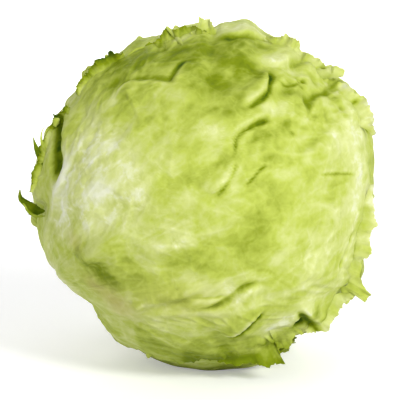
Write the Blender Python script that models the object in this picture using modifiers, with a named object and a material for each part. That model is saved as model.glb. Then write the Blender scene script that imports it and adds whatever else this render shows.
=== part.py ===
"""A head of iceberg lettuce lying on its side: a cut stem, six outer leaves wrapped round the
head one over another, and the packed heart of inner leaves. Metres, +Z up.

Every leaf is drawn flat, in a plane that is then bent round the head. A point of that plane has
a bearing and a distance from the leaf's middle, and the distance becomes an arc over the head."""

import math

import bmesh
import bpy
import numpy as np
from mathutils import Matrix, Vector
from mathutils.geometry import delaunay_2d_cdt

MM = 0.001
DEGREE = math.pi / 180
TINY = 1e-9  # keeps a division from zero

# The head
HEAD_RADIUS = 80 * MM
DEPTH_RADIUS = 80 * MM  # front to back, across the outline below
OUTLINE_RADII = [r * MM for r in (79.5, 87, 84.5, 82.5, 79.5, 81, 80.5, 78, 79, 81.5, 80, 84.5)]
REST_HEIGHT = 78.5 * MM  # from the surface it lies on to its centre
FOOT_RADIUS = 12 * MM  # of the ring of points that keeps the spot it rests on flat
FOOT_POINTS = 8
STEM_POINTS = Vector((-0.83, 0.25, -0.50)).normalized()  # from the centre to the cut stem
BASE_DIP = 3.5 * MM  # how much the head flattens round the stem
BASE_DIP_SPREAD = 24 * DEGREE
LUMP_COUNT = 60
LUMP_HEIGHT = 1.5 * MM
LUMP_SPREAD = (10 * DEGREE, 22 * DEGREE)
LUMP_SEED = 11

# The cut stem, a cone whose tip would be the head's centre
STEM_HALF_ANGLE = 10.2 * DEGREE
STEM_INNER, STEM_OUTER = 50 * MM, 74.5 * MM
STEM_ROUND = 1.5 * MM
STEM_SIDES = 28
STEM_CLEARANCE = 0.6 * DEGREE
STEM_COLOUR, STEM_ROUGHNESS = (0.72, 0.66, 0.44), 0.7

# The leaves
LEAF_THICKNESS = 1.0 * MM
LAYER_PITCH = 2.8 * MM  # one leaf lies this much deeper than the one over it
COVER_LIP = 4 * MM  # a leaf still presses on what lies this far outside its edge
COVER_FALL = 26 * MM
HEART_GAP = 0.8 * MM
OUTER_COLOUR, INNER_COLOUR = (0.50, 0.62, 0.14), (0.60, 0.66, 0.24)
LEAF_ROUGHNESS = 0.45

BASE_SPREAD = 27 * DEGREE  # how far to either side the outline narrows to the leaf's base
TIP_SHAPE = 1.3  # a higher power makes a narrower tip
BASE_WRAP = 4 * DEGREE  # the base stops this far short of the stem's axis, on either side of the stem
LOBE_WAVES = (3, 4, 5, 7, 9)
LOBE_REACH = 1.3 * DEGREE
TOOTH_WAVES = (17, 23, 31)
TOOTH_REACH = 1.3 * DEGREE

RUFFLE_WAVES = (13, 19, 27)
RUFFLE_HEIGHT = 8 * MM  # where all its waves add up
RUFFLE_EVEN = 0.65  # the share of that height that doesn't change from place to place
RUFFLE_DEPTH = 11 * MM  # how far in from the edge the ruffle reaches
RUFFLE_START = (17.5 * MM, 52.5 * MM)  # from the leaf's base, where it begins and where it is whole
UNDERSIDE = (-0.93, -0.85)  # heights on a unit globe: below the first nothing is raised

RIB_HEADINGS = [h * DEGREE for h in (-72, -46, -22, 0, 22, 46, 72)]
RIB_BEND = 0.30  # how much a side rib turns towards the tip, as a share of its heading
RIB_FAN = 10 * MM  # how far from the middle of the base the outermost ribs start
RIB_ROOT = 3 * MM  # how far the ribs start from the edge of the base
RIB_HEIGHT = 4.2 * MM
SIDE_RIB_LOSS = 0.45  # how much narrower and lower the outermost ribs are
RIB_TAPER = 0.8  # a lower power keeps the ribs high for longer
RIB_ROUNDNESS = 1.5  # a higher power makes a sharper ridge
RIB_HALF_WIDTH = (6.5 * MM, 3 * MM)  # at the stem and at the end
RIB_STEP = 17 * MM
COVERED_RIBS = 0.08  # the share of their height that ribs keep where another leaf lies on them
RIB_END = 15 * MM  # in from the leaf's edge

EDGE_POINTS, INNER_EDGE_POINTS = 120, 72
INNER_EDGE_SHARE = 0.93
FILL_SPACING = 14.5 * MM
FILL_CLEARANCE = 8 * MM
POINT_CLEARANCE = 4 * MM  # between the points of neighbouring ribs
MEET_WITHIN = 1e-7  # points of the flat plane this close are one

# The heart, a globe with its pole at the stem
HEART_SIDES, HEART_RINGS = 40, 22
HEART_POCKET = 11.2 * DEGREE
POCKET_FLOOR = 49 * MM
POCKET_FLOOR_SHARE = 0.98  # the floor's half angle, as a share of the mouth's
HEART_COLOUR, HEART_ROUGHNESS = (0.62, 0.68, 0.30), 0.5

# name, turn round the stem from the front, middle's distance from the stem, reach to its right,
# to its left and at its tip, seed
LEAVES = (
    ("leaf_front", 8, 94, 60, 78, 108, 1),
    ("leaf_under", -75, 52, 56, 56, 40, 2),
    ("leaf_back", 190, 80, 84, 84, 92, 3),
    ("leaf_top", 110, 80, 88, 88, 98, 4),
    ("leaf_side", 238, 80, 90, 90, 100, 5),
    ("leaf_crown", 48, 84, 92, 92, 106, 6),
)


def smooth_step(value):
    share = np.clip(value, 0.0, 1.0)
    return share * share * (3 - 2 * share)


def unit_rows(rows):
    return rows / np.linalg.norm(rows, axis=1, keepdims=True)


def wave_sum(bearing, waves, seed):
    """Sines of these counts round the leaf, each at its own seeded phase, from -1 to 1."""
    phases = np.random.default_rng(seed).uniform(0, 2 * math.pi, len(waves))
    return sum(np.sin(n * bearing + phase) for n, phase in zip(waves, phases)) / len(waves)


def side_view_radius(turn):
    """The head's radius in the side view, a smooth closed line through OUTLINE_RADII."""
    count = len(OUTLINE_RADII)
    radii = np.array(OUTLINE_RADII)
    place = (turn / (2 * math.pi) * count) % count
    first = np.floor(place).astype(int)
    f = place - first
    a, b, c, d = (radii[(first + k) % count] for k in (-1, 0, 1, 2))
    curved = (2 * a - 5 * b + 4 * c - d) * f**2 + (3 * b - a - 3 * c + d) * f**3
    return (2 * b + (c - a) * f + curved) / 2


def lump_height(directions):
    """Low swellings and hollows that all the layers share."""
    rng = np.random.default_rng(LUMP_SEED)
    height = np.zeros(len(directions))
    for centre in unit_rows(rng.normal(size=(LUMP_COUNT, 3))):
        spread = rng.uniform(*LUMP_SPREAD)
        angle = np.arccos(np.clip(directions @ centre, -1, 1))
        height += rng.uniform(-1, 1) * LUMP_HEIGHT * np.exp(-((angle / spread) ** 2))
    return height


def head_radius(directions, depth):
    """Distance from the head's centre to the surface that lies depth under its outside."""
    x, y, z = directions.T
    across_view = x**2 + z**2
    radius = DEPTH_RADIUS + across_view * (side_view_radius(np.arctan2(z, x)) - DEPTH_RADIUS)
    from_stem = np.arccos(np.clip(directions @ np.array(STEM_POINTS), -1, 1))
    radius -= BASE_DIP * np.exp(-((from_stem / BASE_DIP_SPREAD) ** 2))
    radius += lump_height(directions) - depth
    level = (REST_HEIGHT - depth) / np.maximum(-z, TINY)
    return np.minimum(radius, level)


class Leaf:
    """One leaf: where its middle lies on the head, and its outline in the flat plane."""

    def __init__(self, name, turn, middle, right, left, tip, seed):
        self.name, self.seed = name, seed
        self.middle, self.right, self.left, self.tip = (a * DEGREE for a in (middle, right, left, tip))
        self.base = self.middle - STEM_HALF_ANGLE - STEM_CLEARANCE  # from the middle to the stem's side
        front = Vector((0, -1, 0))
        front = (front - front.dot(STEM_POINTS) * STEM_POINTS).normalized()
        above = front.cross(STEM_POINTS)
        above = above if above.z > 0 else -above
        outwards = math.cos(turn * DEGREE) * front + math.sin(turn * DEGREE) * above
        centre = math.cos(self.middle) * STEM_POINTS + math.sin(self.middle) * outwards
        to_tip = math.cos(self.middle) * outwards - math.sin(self.middle) * STEM_POINTS
        self.axes = np.array([to_tip.cross(centre), to_tip, centre])

    def directions(self, flat):
        """Directions from the head's centre to points of the flat plane."""
        angle = np.linalg.norm(flat, axis=1) / HEAD_RADIUS
        along = flat / np.maximum(np.linalg.norm(flat, axis=1, keepdims=True), TINY)
        parts = np.column_stack([along * np.sin(angle)[:, None], np.cos(angle)])
        return parts @ self.axes

    def flat(self, directions):
        """The flat plane's points for these directions."""
        x, y, z = (directions @ self.axes.T).T
        stretch = np.arccos(np.clip(z, -1, 1)) / np.maximum(np.hypot(x, y), TINY)
        return HEAD_RADIUS * np.column_stack([x * stretch, y * stretch])

    def reach(self, bearing):
        """How far the leaf spreads from its middle, at a bearing that is 90 degrees at the tip."""
        towards_tip = np.clip(np.sin(bearing), 0, 1) ** TIP_SHAPE
        from_base = (bearing + 1.5 * math.pi) % (2 * math.pi) - math.pi
        side = (self.right + self.left + (self.right - self.left) * np.cos(bearing)) / 2
        angle = side + (self.tip - side) * towards_tip
        narrowing = np.exp(-((from_base / BASE_SPREAD) ** 2))
        uneven = LOBE_REACH * wave_sum(bearing, LOBE_WAVES, self.seed)
        uneven = uneven + TOOTH_REACH * wave_sum(bearing, TOOTH_WAVES, self.seed + 100)
        angle = angle + uneven * (1 - narrowing) - (side - self.middle + BASE_WRAP) * narrowing
        return np.minimum(angle, self.stem_side(from_base)) * HEAD_RADIUS

    def stem_side(self, from_base):
        """The angle from the leaf's middle to the stem's near side, endless where the stem isn't met."""
        a, b = math.cos(self.middle), math.sin(self.middle) * np.cos(from_base)
        share = math.cos(STEM_HALF_ANGLE + STEM_CLEARANCE) / np.hypot(a, b)
        meets = (share < 1) & (b > 0)
        return np.where(meets, np.arctan2(b, a) - np.arccos(np.where(meets, share, 1)), math.inf)

    def edge_distance(self, flat):
        """Distance inwards from the leaf's edge, below zero outside it."""
        return self.reach(np.arctan2(flat[:, 1], flat[:, 0])) - np.linalg.norm(flat, axis=1)

    def cover(self, directions):
        """1 where this leaf presses on what lies under it, falling to 0 past its edge."""
        return 1 - smooth_step((-self.edge_distance(self.flat(directions)) - COVER_LIP) / COVER_FALL)

    def ribs(self):
        """The ribs that fan out from the leaf's base: for each, its points, half widths and heights."""
        found = []
        for heading in RIB_HEADINGS:
            lean = heading / max(RIB_HEADINGS)
            points = [np.array([lean * RIB_FAN, RIB_ROOT - self.base * HEAD_RADIUS])]
            longest = (self.base + self.tip) * HEAD_RADIUS
            while self.edge_distance(points[-1][None])[0] > RIB_END or len(points) < 3:
                travelled = RIB_STEP * len(points)
                now = heading * (1 - RIB_BEND * travelled / longest)
                points.append(points[-1] + RIB_STEP * np.array([math.sin(now), math.cos(now)]))
            share = np.linspace(0, 1, len(points))
            size = 1 - SIDE_RIB_LOSS * abs(lean)
            widths = (RIB_HALF_WIDTH[0] * (1 - share) + RIB_HALF_WIDTH[1] * share) * size
            heights = RIB_HEIGHT * size * (1 - share) ** RIB_TAPER
            found.append((np.array(points), widths, heights))
        return found

    def rib_height(self, flat):
        """How far the ribs stand out at these points."""
        height = np.zeros(len(flat))
        for points, widths, heights in self.ribs():
            for i in range(len(points) - 1):
                step = points[i + 1] - points[i]
                share = np.clip((flat - points[i]) @ step / (step @ step), 0, 1)
                off = np.linalg.norm(flat - points[i] - share[:, None] * step, axis=1)
                width = widths[i] + share * (widths[i + 1] - widths[i])
                top = heights[i] + share * (heights[i + 1] - heights[i])
                section = np.clip(1 - (off / width) ** 2, 0, 1) ** RIB_ROUNDNESS
                height = np.maximum(height, top * section)
        return height

    def ruffle(self, flat):
        """The waves that lift the leaf's edge off the head."""
        bearing = np.arctan2(flat[:, 1], flat[:, 0])
        inwards = np.clip(self.edge_distance(flat), 0, None)
        from_base = np.linalg.norm(flat + [0, self.base * HEAD_RADIUS], axis=1)
        uneven = RUFFLE_EVEN + (1 - RUFFLE_EVEN) * wave_sum(bearing, LOBE_WAVES, self.seed + 200)
        waves = (1 + wave_sum(bearing, RUFFLE_WAVES, self.seed + 300)) / 2
        started = smooth_step((from_base - RUFFLE_START[0]) / (RUFFLE_START[1] - RUFFLE_START[0]))
        return RUFFLE_HEIGHT * np.exp(-((inwards / RUFFLE_DEPTH) ** 2)) * started * uneven * waves


def leaf_surface(leaf, over, flat):
    """Points of a leaf's outer face. It lies under the leaves in over, and is free elsewhere."""
    directions = leaf.directions(flat)
    free, depth = np.ones(len(flat)), np.zeros(len(flat))
    for other in over:
        cover = other.cover(directions)
        free = free * (1 - cover)
        depth = depth + LAYER_PITCH * cover
    ribs = leaf.rib_height(flat) * (COVERED_RIBS + (1 - COVERED_RIBS) * free)
    clear = smooth_step((directions[:, 2] - UNDERSIDE[0]) / (UNDERSIDE[1] - UNDERSIDE[0]))
    radius = head_radius(directions, depth) + (ribs + leaf.ruffle(flat) * free) * clear
    return directions * radius[:, None] + [0, 0, REST_HEIGHT]


def apart(points, kept, clearance):
    """Those of the points that lie this far from the kept ones and from each other."""
    kept = list(kept)
    found = []
    for point in points:
        if np.min(np.linalg.norm(np.array(kept) - point, axis=1)) >= clearance:
            kept.append(point)
            found.append(point)
    return found


def ring(leaf, count, share):
    """Points on the leaf's outline, or on a copy of it shrunk to this share."""
    bearing = np.linspace(0, 2 * math.pi, count, endpoint=False) - math.pi / 2
    return share * leaf.reach(bearing)[:, None] * np.column_stack([np.cos(bearing), np.sin(bearing)])


def foot(leaf):
    """The flat plane's points for the ring under the head and its middle, where the leaf covers them."""
    turns = np.linspace(0, 2 * math.pi, FOOT_POINTS, endpoint=False)
    around = FOOT_RADIUS * np.column_stack([np.cos(turns), np.sin(turns)])
    places = np.vstack([around, [0, 0]])
    found = leaf.flat(unit_rows(np.column_stack([places, np.full(len(places), -REST_HEIGHT)])))
    return found[leaf.edge_distance(found) > POINT_CLEARANCE]


def flat_leaf(leaf):
    """The flat leaf as points and triangles."""
    edge = ring(leaf, EDGE_POINTS, 1)
    points = list(edge)
    points += apart(foot(leaf), points, POINT_CLEARANCE)
    points += apart(ring(leaf, INNER_EDGE_POINTS, INNER_EDGE_SHARE), points, POINT_CLEARANCE)
    for rib_points, widths, _ in leaf.ribs():
        steps = np.gradient(rib_points, axis=0)
        across = unit_rows(np.column_stack([-steps[:, 1], steps[:, 0]])) * widths[:, None]
        inside = leaf.edge_distance(rib_points) > POINT_CLEARANCE
        for side in (0, 1, -1):
            points += apart((rib_points + side * across)[inside], points, POINT_CLEARANCE)
    rows = int(math.pi * HEAD_RADIUS / FILL_SPACING)
    grid = [(i + 0.5 * (j % 2), j * math.sqrt(0.75)) for j in range(-rows, rows) for i in range(-rows, rows)]
    fill = np.array(grid) * FILL_SPACING
    points += apart(fill[leaf.edge_distance(fill) > FILL_CLEARANCE], points, FILL_CLEARANCE)
    border = [(i, (i + 1) % EDGE_POINTS) for i in range(EDGE_POINTS)]
    corners, _, faces, *_ = delaunay_2d_cdt([Vector(p) for p in points], border, [], 1, MEET_WITHIN)
    return np.array(corners), faces


def add_object(name, mesh, colour, roughness):
    obj = bpy.data.objects.new(name, mesh)
    material = bpy.data.materials.new(name)
    material.use_nodes = True
    shader = material.node_tree.nodes["Principled BSDF"]
    shader.inputs["Base Color"].default_value = (*colour, 1)
    shader.inputs["Roughness"].default_value = roughness
    mesh.materials.append(material)
    mesh.shade_smooth()
    lettuce.objects.link(obj)
    return obj


def add_leaf(leaf, over, colour):
    flat, faces = flat_leaf(leaf)
    mesh = bpy.data.meshes.new(leaf.name)
    mesh.from_pydata(leaf_surface(leaf, over, flat).tolist(), [], faces)
    obj = add_object(leaf.name, mesh, colour, LEAF_ROUGHNESS)
    wall = obj.modifiers.new("thickness", "SOLIDIFY")
    wall.thickness = LEAF_THICKNESS
    wall.offset = -1


def add_heart(leaves):
    """The inner leaves, packed too tightly to part, with a pocket where the stem goes in."""
    mesh = bpy.data.meshes.new("heart")
    globe = bmesh.new()
    bmesh.ops.create_uvsphere(globe, u_segments=HEART_SIDES, v_segments=HEART_RINGS, radius=1)
    turned = Vector((0, 0, 1)).rotation_difference(STEM_POINTS).to_matrix()
    from_pole = np.array([math.acos(max(-1, min(1, v.co.z))) for v in globe.verts])
    round_pole = np.array([math.atan2(v.co.y, v.co.x) for v in globe.verts])
    # The two rings nearest the pole become the edges of the pocket's floor and its mouth.
    rings = np.round(from_pole * HEART_RINGS / math.pi)
    angle = HEART_POCKET + (rings - 2) * (math.pi - HEART_POCKET) / (HEART_RINGS - 2)
    angle = np.where(rings == 1, HEART_POCKET * POCKET_FLOOR_SHARE, angle)
    angle = np.where(rings == 0, 0, angle)
    across = np.column_stack([np.cos(round_pole), np.sin(round_pole)]) * np.sin(angle)[:, None]
    directions = np.column_stack([across, np.cos(angle)]) @ np.array(turned).T
    depth = LAYER_PITCH * np.sum([leaf.cover(directions) for leaf in leaves], axis=0) + HEART_GAP
    radius = np.where(rings < 2, POCKET_FLOOR / np.cos(angle), head_radius(directions, depth))
    for vertex, place in zip(globe.verts, directions * radius[:, None]):
        vertex.co = Vector(place) + Vector((0, 0, REST_HEIGHT))
    globe.to_mesh(mesh)
    globe.free()
    add_object("heart", mesh, HEART_COLOUR, HEART_ROUGHNESS)


def add_stem():
    mesh = bpy.data.meshes.new("stem")
    cone = bmesh.new()
    spread = math.tan(STEM_HALF_ANGLE)
    bmesh.ops.create_cone(
        cone, cap_ends=True, segments=STEM_SIDES, depth=STEM_OUTER - STEM_INNER,
        radius1=STEM_INNER * spread, radius2=STEM_OUTER * spread,
    )
    cone.transform(Matrix.Translation((0, 0, (STEM_OUTER + STEM_INNER) / 2)))
    cone.transform(Vector((0, 0, 1)).rotation_difference(STEM_POINTS).to_matrix().to_4x4())
    cone.transform(Matrix.Translation((0, 0, REST_HEIGHT)))
    cone.to_mesh(mesh)
    cone.free()
    obj = add_object("stem", mesh, STEM_COLOUR, STEM_ROUGHNESS)
    rim = obj.modifiers.new("rim", "BEVEL")
    rim.width = STEM_ROUND
    rim.segments = 2


for old in list(bpy.data.objects):
    bpy.data.objects.remove(old)
lettuce = bpy.data.collections.new("iceberg_lettuce")
bpy.context.scene.collection.children.link(lettuce)

leaves = [Leaf(*row) for row in LEAVES]
for layer, leaf in enumerate(leaves):
    colour = Vector(OUTER_COLOUR).lerp(Vector(INNER_COLOUR), layer / len(leaves))
    add_leaf(leaf, leaves[:layer], colour)
add_heart(leaves)
add_stem()
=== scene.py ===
import math

import bmesh
import bpy
import numpy as np
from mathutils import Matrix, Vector


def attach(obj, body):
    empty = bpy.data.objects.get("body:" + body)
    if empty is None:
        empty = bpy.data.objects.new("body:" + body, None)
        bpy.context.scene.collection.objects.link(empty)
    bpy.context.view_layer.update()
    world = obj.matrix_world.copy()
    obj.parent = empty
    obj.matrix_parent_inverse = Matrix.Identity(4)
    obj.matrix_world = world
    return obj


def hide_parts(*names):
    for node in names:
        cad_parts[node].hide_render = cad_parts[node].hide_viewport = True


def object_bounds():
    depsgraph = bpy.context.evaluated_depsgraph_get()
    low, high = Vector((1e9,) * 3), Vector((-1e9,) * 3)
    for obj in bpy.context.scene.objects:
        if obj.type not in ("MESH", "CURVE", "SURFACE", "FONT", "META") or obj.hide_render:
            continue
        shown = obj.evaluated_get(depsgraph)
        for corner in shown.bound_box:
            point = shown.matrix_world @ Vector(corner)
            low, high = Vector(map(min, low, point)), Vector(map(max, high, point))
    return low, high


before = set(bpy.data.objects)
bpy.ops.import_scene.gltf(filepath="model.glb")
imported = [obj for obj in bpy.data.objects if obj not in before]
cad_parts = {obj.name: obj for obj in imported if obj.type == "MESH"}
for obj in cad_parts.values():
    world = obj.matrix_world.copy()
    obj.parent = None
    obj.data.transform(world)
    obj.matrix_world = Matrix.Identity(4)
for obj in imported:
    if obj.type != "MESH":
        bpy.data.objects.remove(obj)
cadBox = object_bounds()

mm = 0.001
degree = math.pi / 180
tiny = 1e-9

# The head that every leaf is bent round, in the CAD model's sizes
head = {
    "radius": 80 * mm,
    "depthRadius": 80 * mm,
    "outline": [r * mm for r in (79.5, 87, 84.5, 82.5, 79.5, 81, 80.5, 78, 79, 81.5, 80, 84.5)],
    "restHeight": 78.5 * mm,
    "stemPoints": Vector((-0.83, 0.25, -0.50)).normalized(),
    "baseDip": 3.5 * mm,
    "baseDipSpread": 24 * degree,
    "lumpCount": 60,
    "lumpHeight": 1.5 * mm,
    "lumpSpread": (10 * degree, 22 * degree),
    "lumpSeed": 11,
    "layerPitch": 2.8 * mm,
    "coverLip": 4 * mm,
    "coverFall": 26 * mm,
    "underside": (-0.93, -0.85),  # heights on a unit globe between which raised forms fade out
}

# The leaf's outline and waves; the teeth and frills are finer than the CAD model's
leafShape = {
    "baseSpread": 27 * degree,
    "tipShape": 1.3,
    "baseWrap": 4 * degree,
    "stemHalfAngle": 10.8 * degree,
    "lobeWaves": (3, 4, 5, 7, 9),
    "lobeReach": 1.3 * degree,
    "toothWaves": (17, 23, 31),
    "toothReach": 1.3 * degree,
    "ruffleWaves": (13, 19, 27),
    "ruffleHeight": 3.4 * mm,
    "ruffleEven": 0.65,
    "ruffleDepth": 9 * mm,
    "ruffleStart": (17.5 * mm, 52.5 * mm),
    "fineToothWaves": (53, 79, 113, 167),
    "fineToothReach": 2.4 * mm,
    "frillWaves": (37, 59, 89, 121),
    "frillHeight": 3.4 * mm,
    "frillDepth": 4 * mm,
    "gateWaves": (4, 9, 14, 21),  # where along the margin the teeth and the frills come and go
    "gate": (0.42, 1.3),  # its middle and its height
    "ruffleMiddle": 0.45,  # the part of the ruffle that lies under the leaf's own surface
    "frillGap": 0.08,
    "evenTeeth": 0.3,  # the share of the teeth that is there all along the margin
    "toothMiddle": 0.15,
}

# name: turn round the stem, middle's distance from the stem, reach right, left and at the tip, seed, grid
leafPlaces = {
    "leaf_front": (8, 94, 60, 78, 108, 1, 269),
    "leaf_under": (-75, 52, 56, 56, 40, 2, 170),
    "leaf_back": (190, 80, 84, 84, 92, 3, 248),
    "leaf_top": (110, 80, 88, 88, 98, 4, 233),
    "leaf_side": (238, 80, 90, 90, 100, 5, 200),
    "leaf_crown": (48, 84, 92, 92, 106, 6, 140),
}

# How the photograph looks at the head; the aim is right and up of its centre
photoView = {"elevation": 8.5 * degree, "distance": 705 * mm, "lens": 135, "aim": (-1.4 * mm, -1.4 * mm)}
viewTilt = photoView["elevation"]
viewForward = np.array([0, math.cos(viewTilt), -math.sin(viewTilt)])
viewSides = np.array([[1, 0, 0], [0, math.sin(viewTilt), math.cos(viewTilt)]])  # its right and its up


def smoothStep(value):
    share = np.clip(value, 0.0, 1.0)
    return share * share * (3 - 2 * share)


def bell(distance, width):
    return np.exp(-((distance / width) ** 2))


def unitRows(rows):
    return rows / np.maximum(np.linalg.norm(rows, axis=1, keepdims=True), tiny)


def wayAt(heading):
    # the unit vector of a heading in a leaf's flat plane, where 0 points to the tip
    return np.array([math.sin(heading), math.cos(heading)])


def waveSum(bearing, waves, seed):
    phases = np.random.default_rng(seed).uniform(0, 2 * math.pi, len(waves))
    return sum(np.sin(n * bearing + phase) for n, phase in zip(waves, phases)) / len(waves)


def smoothLine(a, b, c, d, share):
    # the Catmull-Rom points at this share of the way from b to c
    curved = (2 * a - 5 * b + 4 * c - d) * share**2 + (3 * b - a - 3 * c + d) * share**3
    return (2 * b + (c - a) * share + curved) / 2


def curveThrough(points, perSpan):
    # a smooth line through the points, with this many steps between neighbours
    points = np.array(points, float)
    ends = np.vstack([2 * points[0] - points[1], points, 2 * points[-1] - points[-2]])
    share = np.linspace(0, 1, perSpan, endpoint=False)[:, None]
    found = [smoothLine(*four, share) for four in zip(ends, ends[1:], ends[2:], ends[3:])]
    return np.vstack(found + [points[-1:]])


def seenAt(places):
    # directions from the head's centre to what the photograph shows at these places, in millimetres
    # right and up of that centre
    eye = np.array(photoView["aim"]) @ viewSides - viewForward * photoView["distance"]
    ray = unitRows(np.array(places, float) * mm @ viewSides - eye)
    along = -ray @ eye
    inside = np.maximum(head["radius"] ** 2 - eye @ eye + along**2, 0)
    return unitRows(eye + ray * (along - np.sqrt(inside))[:, None])


def onHead(places):
    # the places drawn in to where a round head shows what this one's outline shows at them
    places = np.array(places, float)
    turn = np.arctan2(places[:, 1], places[:, 0])
    wider = sideViewRadius(turn) / head["radius"] - 1
    share = np.minimum(np.hypot(*places.T) * mm / (head["radius"] * (1 + wider)), 1) ** 2
    drawn = 1 + share * wider + share**2 * trimmed(turn) / head["radius"]
    return places / drawn[:, None]


# The folds that the photograph shows, each along a line of places right and up of the head's centre, in
# millimetres. The surface rises to the line over the gentle width on one side, which is 1 on the left of
# the line's way and -1 on its right, and drops within the steep width on the other.
# dark is how much shade is painted in a fold's valley, and how much highlight along its line
foldKeys = ("rise", "steep", "gentle", "side", "dark")
frontFolds = {
    "band": ([(13, 17), (12.8, 24), (14.4, 29.5), (20, 34), (28, 37.6), (35.5, 38.8)],
        (2.5, 1.15, 13, 1, 0.52)),
    "bandLow": ([(3.5, 0), (8, 5.5), (12, 11.5), (13.4, 17)], (1.5, 1.1, 10, 1, 0.5)),
    "bandEnd": ([(37, 37.5), (44, 38.5), (52, 36)], (1.0, 3, 9, 1, 0.1)),
    "topPleat": ([(16, 40.5), (23, 45), (27.4, 49), (29.2, 55), (29, 61)], (2.9, 1.35, 7, 1, 0.8)),
    "shoulder": ([(-42, 45.5), (-36, 51.5), (-25, 53), (-15, 52), (-12, 54), (-7, 61)],
        (1.5, 2.2, 14, -1, 0.3)),
    "streak": ([(-15, 53), (-11, 58), (-6, 64)], (1.4, 1.5, 7, -1, 0.5)),
    "lowFold": ([(-3, -54.6), (2, -53.8), (6.8, -52.5), (11.5, -50.1), (14.8, -48.1), (18.1, -44.8),
        (20.9, -43), (24.4, -41.8), (29, -41.2)], (2.2, 1.25, 11, -1, 0.5)),
    "lowCrease": ([(-7, -49), (-1, -48.8), (5, -48.6), (11, -47.6)], (0.6, 0.8, 3, -1, 0.35)),
    "lowPleat": ([(9, -66), (12.2, -64.2), (15.2, -62.5), (17.6, -60.4), (19.9, -57.5), (22.8, -54.1),
        (25.3, -52.2), (29, -50.5)], (2.3, 1.8, 8, 1, 1.0)),
    "sideRidge": ([(46, 15), (53, 23.4), (63.5, 34), (70, 45)], (1.5, 2.2, 9, -1, 0.12)),
    "frillFold": ([(50, 43), (56, 46), (63, 49.5), (67, 53.5)], (1.6, 1.6, 6, -1, 0.45)),
    "frillCrease": ([(45, 58), (47, 54), (49, 50)], (1.0, 1.1, 5, 1, 0.4)),
    "frillRidge": ([(35, 55), (40.4, 54.2), (45, 55.2)], (0.9, 1.0, 4, 1, 0.4)),
    "curl": ([(27, 66), (35, 63), (43, 65), (50, 66)], (1.4, 1.8, 6, 1, 0.2)),
    "sideCrease": ([(54, 11.4), (63, 12.1), (73, 11.9)], (0.6, 0.65, 3, 1, 0.4)),
    "thinLine": ([(29, 17), (24, 12), (18, 5)], (0.6, 0.8, 4, -1, 0.45)),
    "lowRib": ([(-38, -53), (-29, -51.5), (-20, -48.5), (-8, -45), (2, -41)], (1.6, 2.2, 3.5, 1, 0.15)),
    "middleRib": ([(-30, -30), (-13, -23.5), (1, -16), (15, -8), (27, -1)], (1.2, 3.5, 6, 1, 0.05)),
    "longRib": ([(-62, -8), (-46, 1), (-29, 7), (-18, 12), (0, 21), (8, 28)], (1.4, 4, 9, 1, 0.05)),
    "rimHollow": ([(5, 74), (17, 76.5), (28, 74.5), (37, 72)], (1.5, 1.7, 6, 1, 0.3)),
    "strap": ([(45, -50), (52, -57), (58, -59.5)], (2.6, 1.6, 5, 1, 0.7)),
    "dipEdge": ([(-64, -24), (-56, -27), (-45, -26), (-37, -30)], (1.6, 4, 12, 1, 0.08)),
    "leftSlit": ([(-66, 45), (-68, 39), (-68.6, 29), (-69.4, 21), (-69.5, 14), (-70, 5)],
        (-3.8, 3.2, 3.2, 1, 1.0)),
}

# Where the outline that the photograph shows leaves the CAD model's: turn anticlockwise from the right in
# degrees, millimetres out, half width in degrees
outlineTrim = {
    "waist": (221.5, -6.6, 10), "neck": (162, -1.2, 9), "collar": (141, -2.8, 6), "crownDip": (70, -2.4, 8),
    "crownLeft": (100, -1.8, 8), "sideDip": (343, -3.2, 8), "elbow": (310, 1.6, 6),
    "lowNotch": (327, -5.5, 5), "shoulderOut": (27, -1.4, 8), "hookRoom": (181, -3.8, 7),
    "crownStep": (57.5, -2.4, 2.4), "crownEdge": (62, 1.2, 3), "corner": (31, 1.2, 4),
    "tooth": (24.5, 1.0, 2), "bottomOut": (288, 2.6, 7), "lowNotchAbove": (321, -1.8, 4),
    "frillRoom": (45, -3.0, 9), "crownNotch": (87, -3.0, 2.5), "crownHigh": (76, 2.4, 4),
}

# Hollows and swellings there: place, half width, depth below zero or height, darkness of the shade painted
# there, all in millimetres
frontDents = {
    "topHollow": (12, 54, 9, -1.8, 0.0), "topHollowRight": (25, 57, 4, -1.2, 0.2),
    "oliveDip": (-58, -31, 9, -1.9, 0.05), "frillShadow": (60, 49, 4.2, -2.2, 0.5),
    "frillHole": (55.5, 58.5, 2.0, -2.8, 1.0), "holeA": (47, 54.5, 1.6, -1.8, 0.8),
    "holeB": (41, 54, 1.5, -1.2, 0.45), "holeC": (66.5, 42, 1.5, -1.4, 0.45),
    "holeD": (72.3, 45.3, 1.4, -1.6, 0.7), "holeE": (77, 32, 1.5, -1.6, 0.45),
    "slot": (43, 31, 1.2, -1.0, 0.45), "gap": (46, -59.6, 2.8, -3.0, 1.0),
    "gapRight": (52, -61, 2.2, -1.6, 0.7), "spotA": (66, -32.5, 1.9, -1.5, 0.5),
    "spotB": (70.5, -19.5, 1.9, -1.4, 0.5), "bottomCrease": (9, -71.5, 3.0, -1.0, 0.2),
    "bottomHollow": (20, -69.5, 4.5, -1.0, 0.1), "darkPatch": (-41, 54, 4.5, -1.2, 0.15),
    "frillSwellA": (49, 61, 3.5, 1.5, 0.0), "frillSwellB": (57.5, 51.5, 3.0, 1.3, 0.0),
    "frillSwellC": (44, 47, 4.0, 1.2, 0.0), "frillSwellD": (64.5, 45, 3.0, 1.2, 0.0),
    "frillSwellE": (71, 38, 3.0, 1.0, 0.0), "frillDipA": (53, 55, 2.4, -1.6, 0.3),
    "frillDipB": (61, 55, 2.0, -1.4, 0.3), "frillDipC": (50, 45, 2.6, -1.2, 0.25),
    "frillDipD": (40, 50, 2.4, -1.0, 0.2), "frillDipE": (60, 39, 2.2, -0.9, 0.2),
    "leftSwell": (-42, 8, 20, 1.6, 0.0), "rightSwell": (50, -14, 22, 1.8, 0.0),
    "lowSwell": (22, -57, 9, 1.4, 0.0), "cheek": (60, 22, 9, 1.2, 0.0),
}
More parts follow.
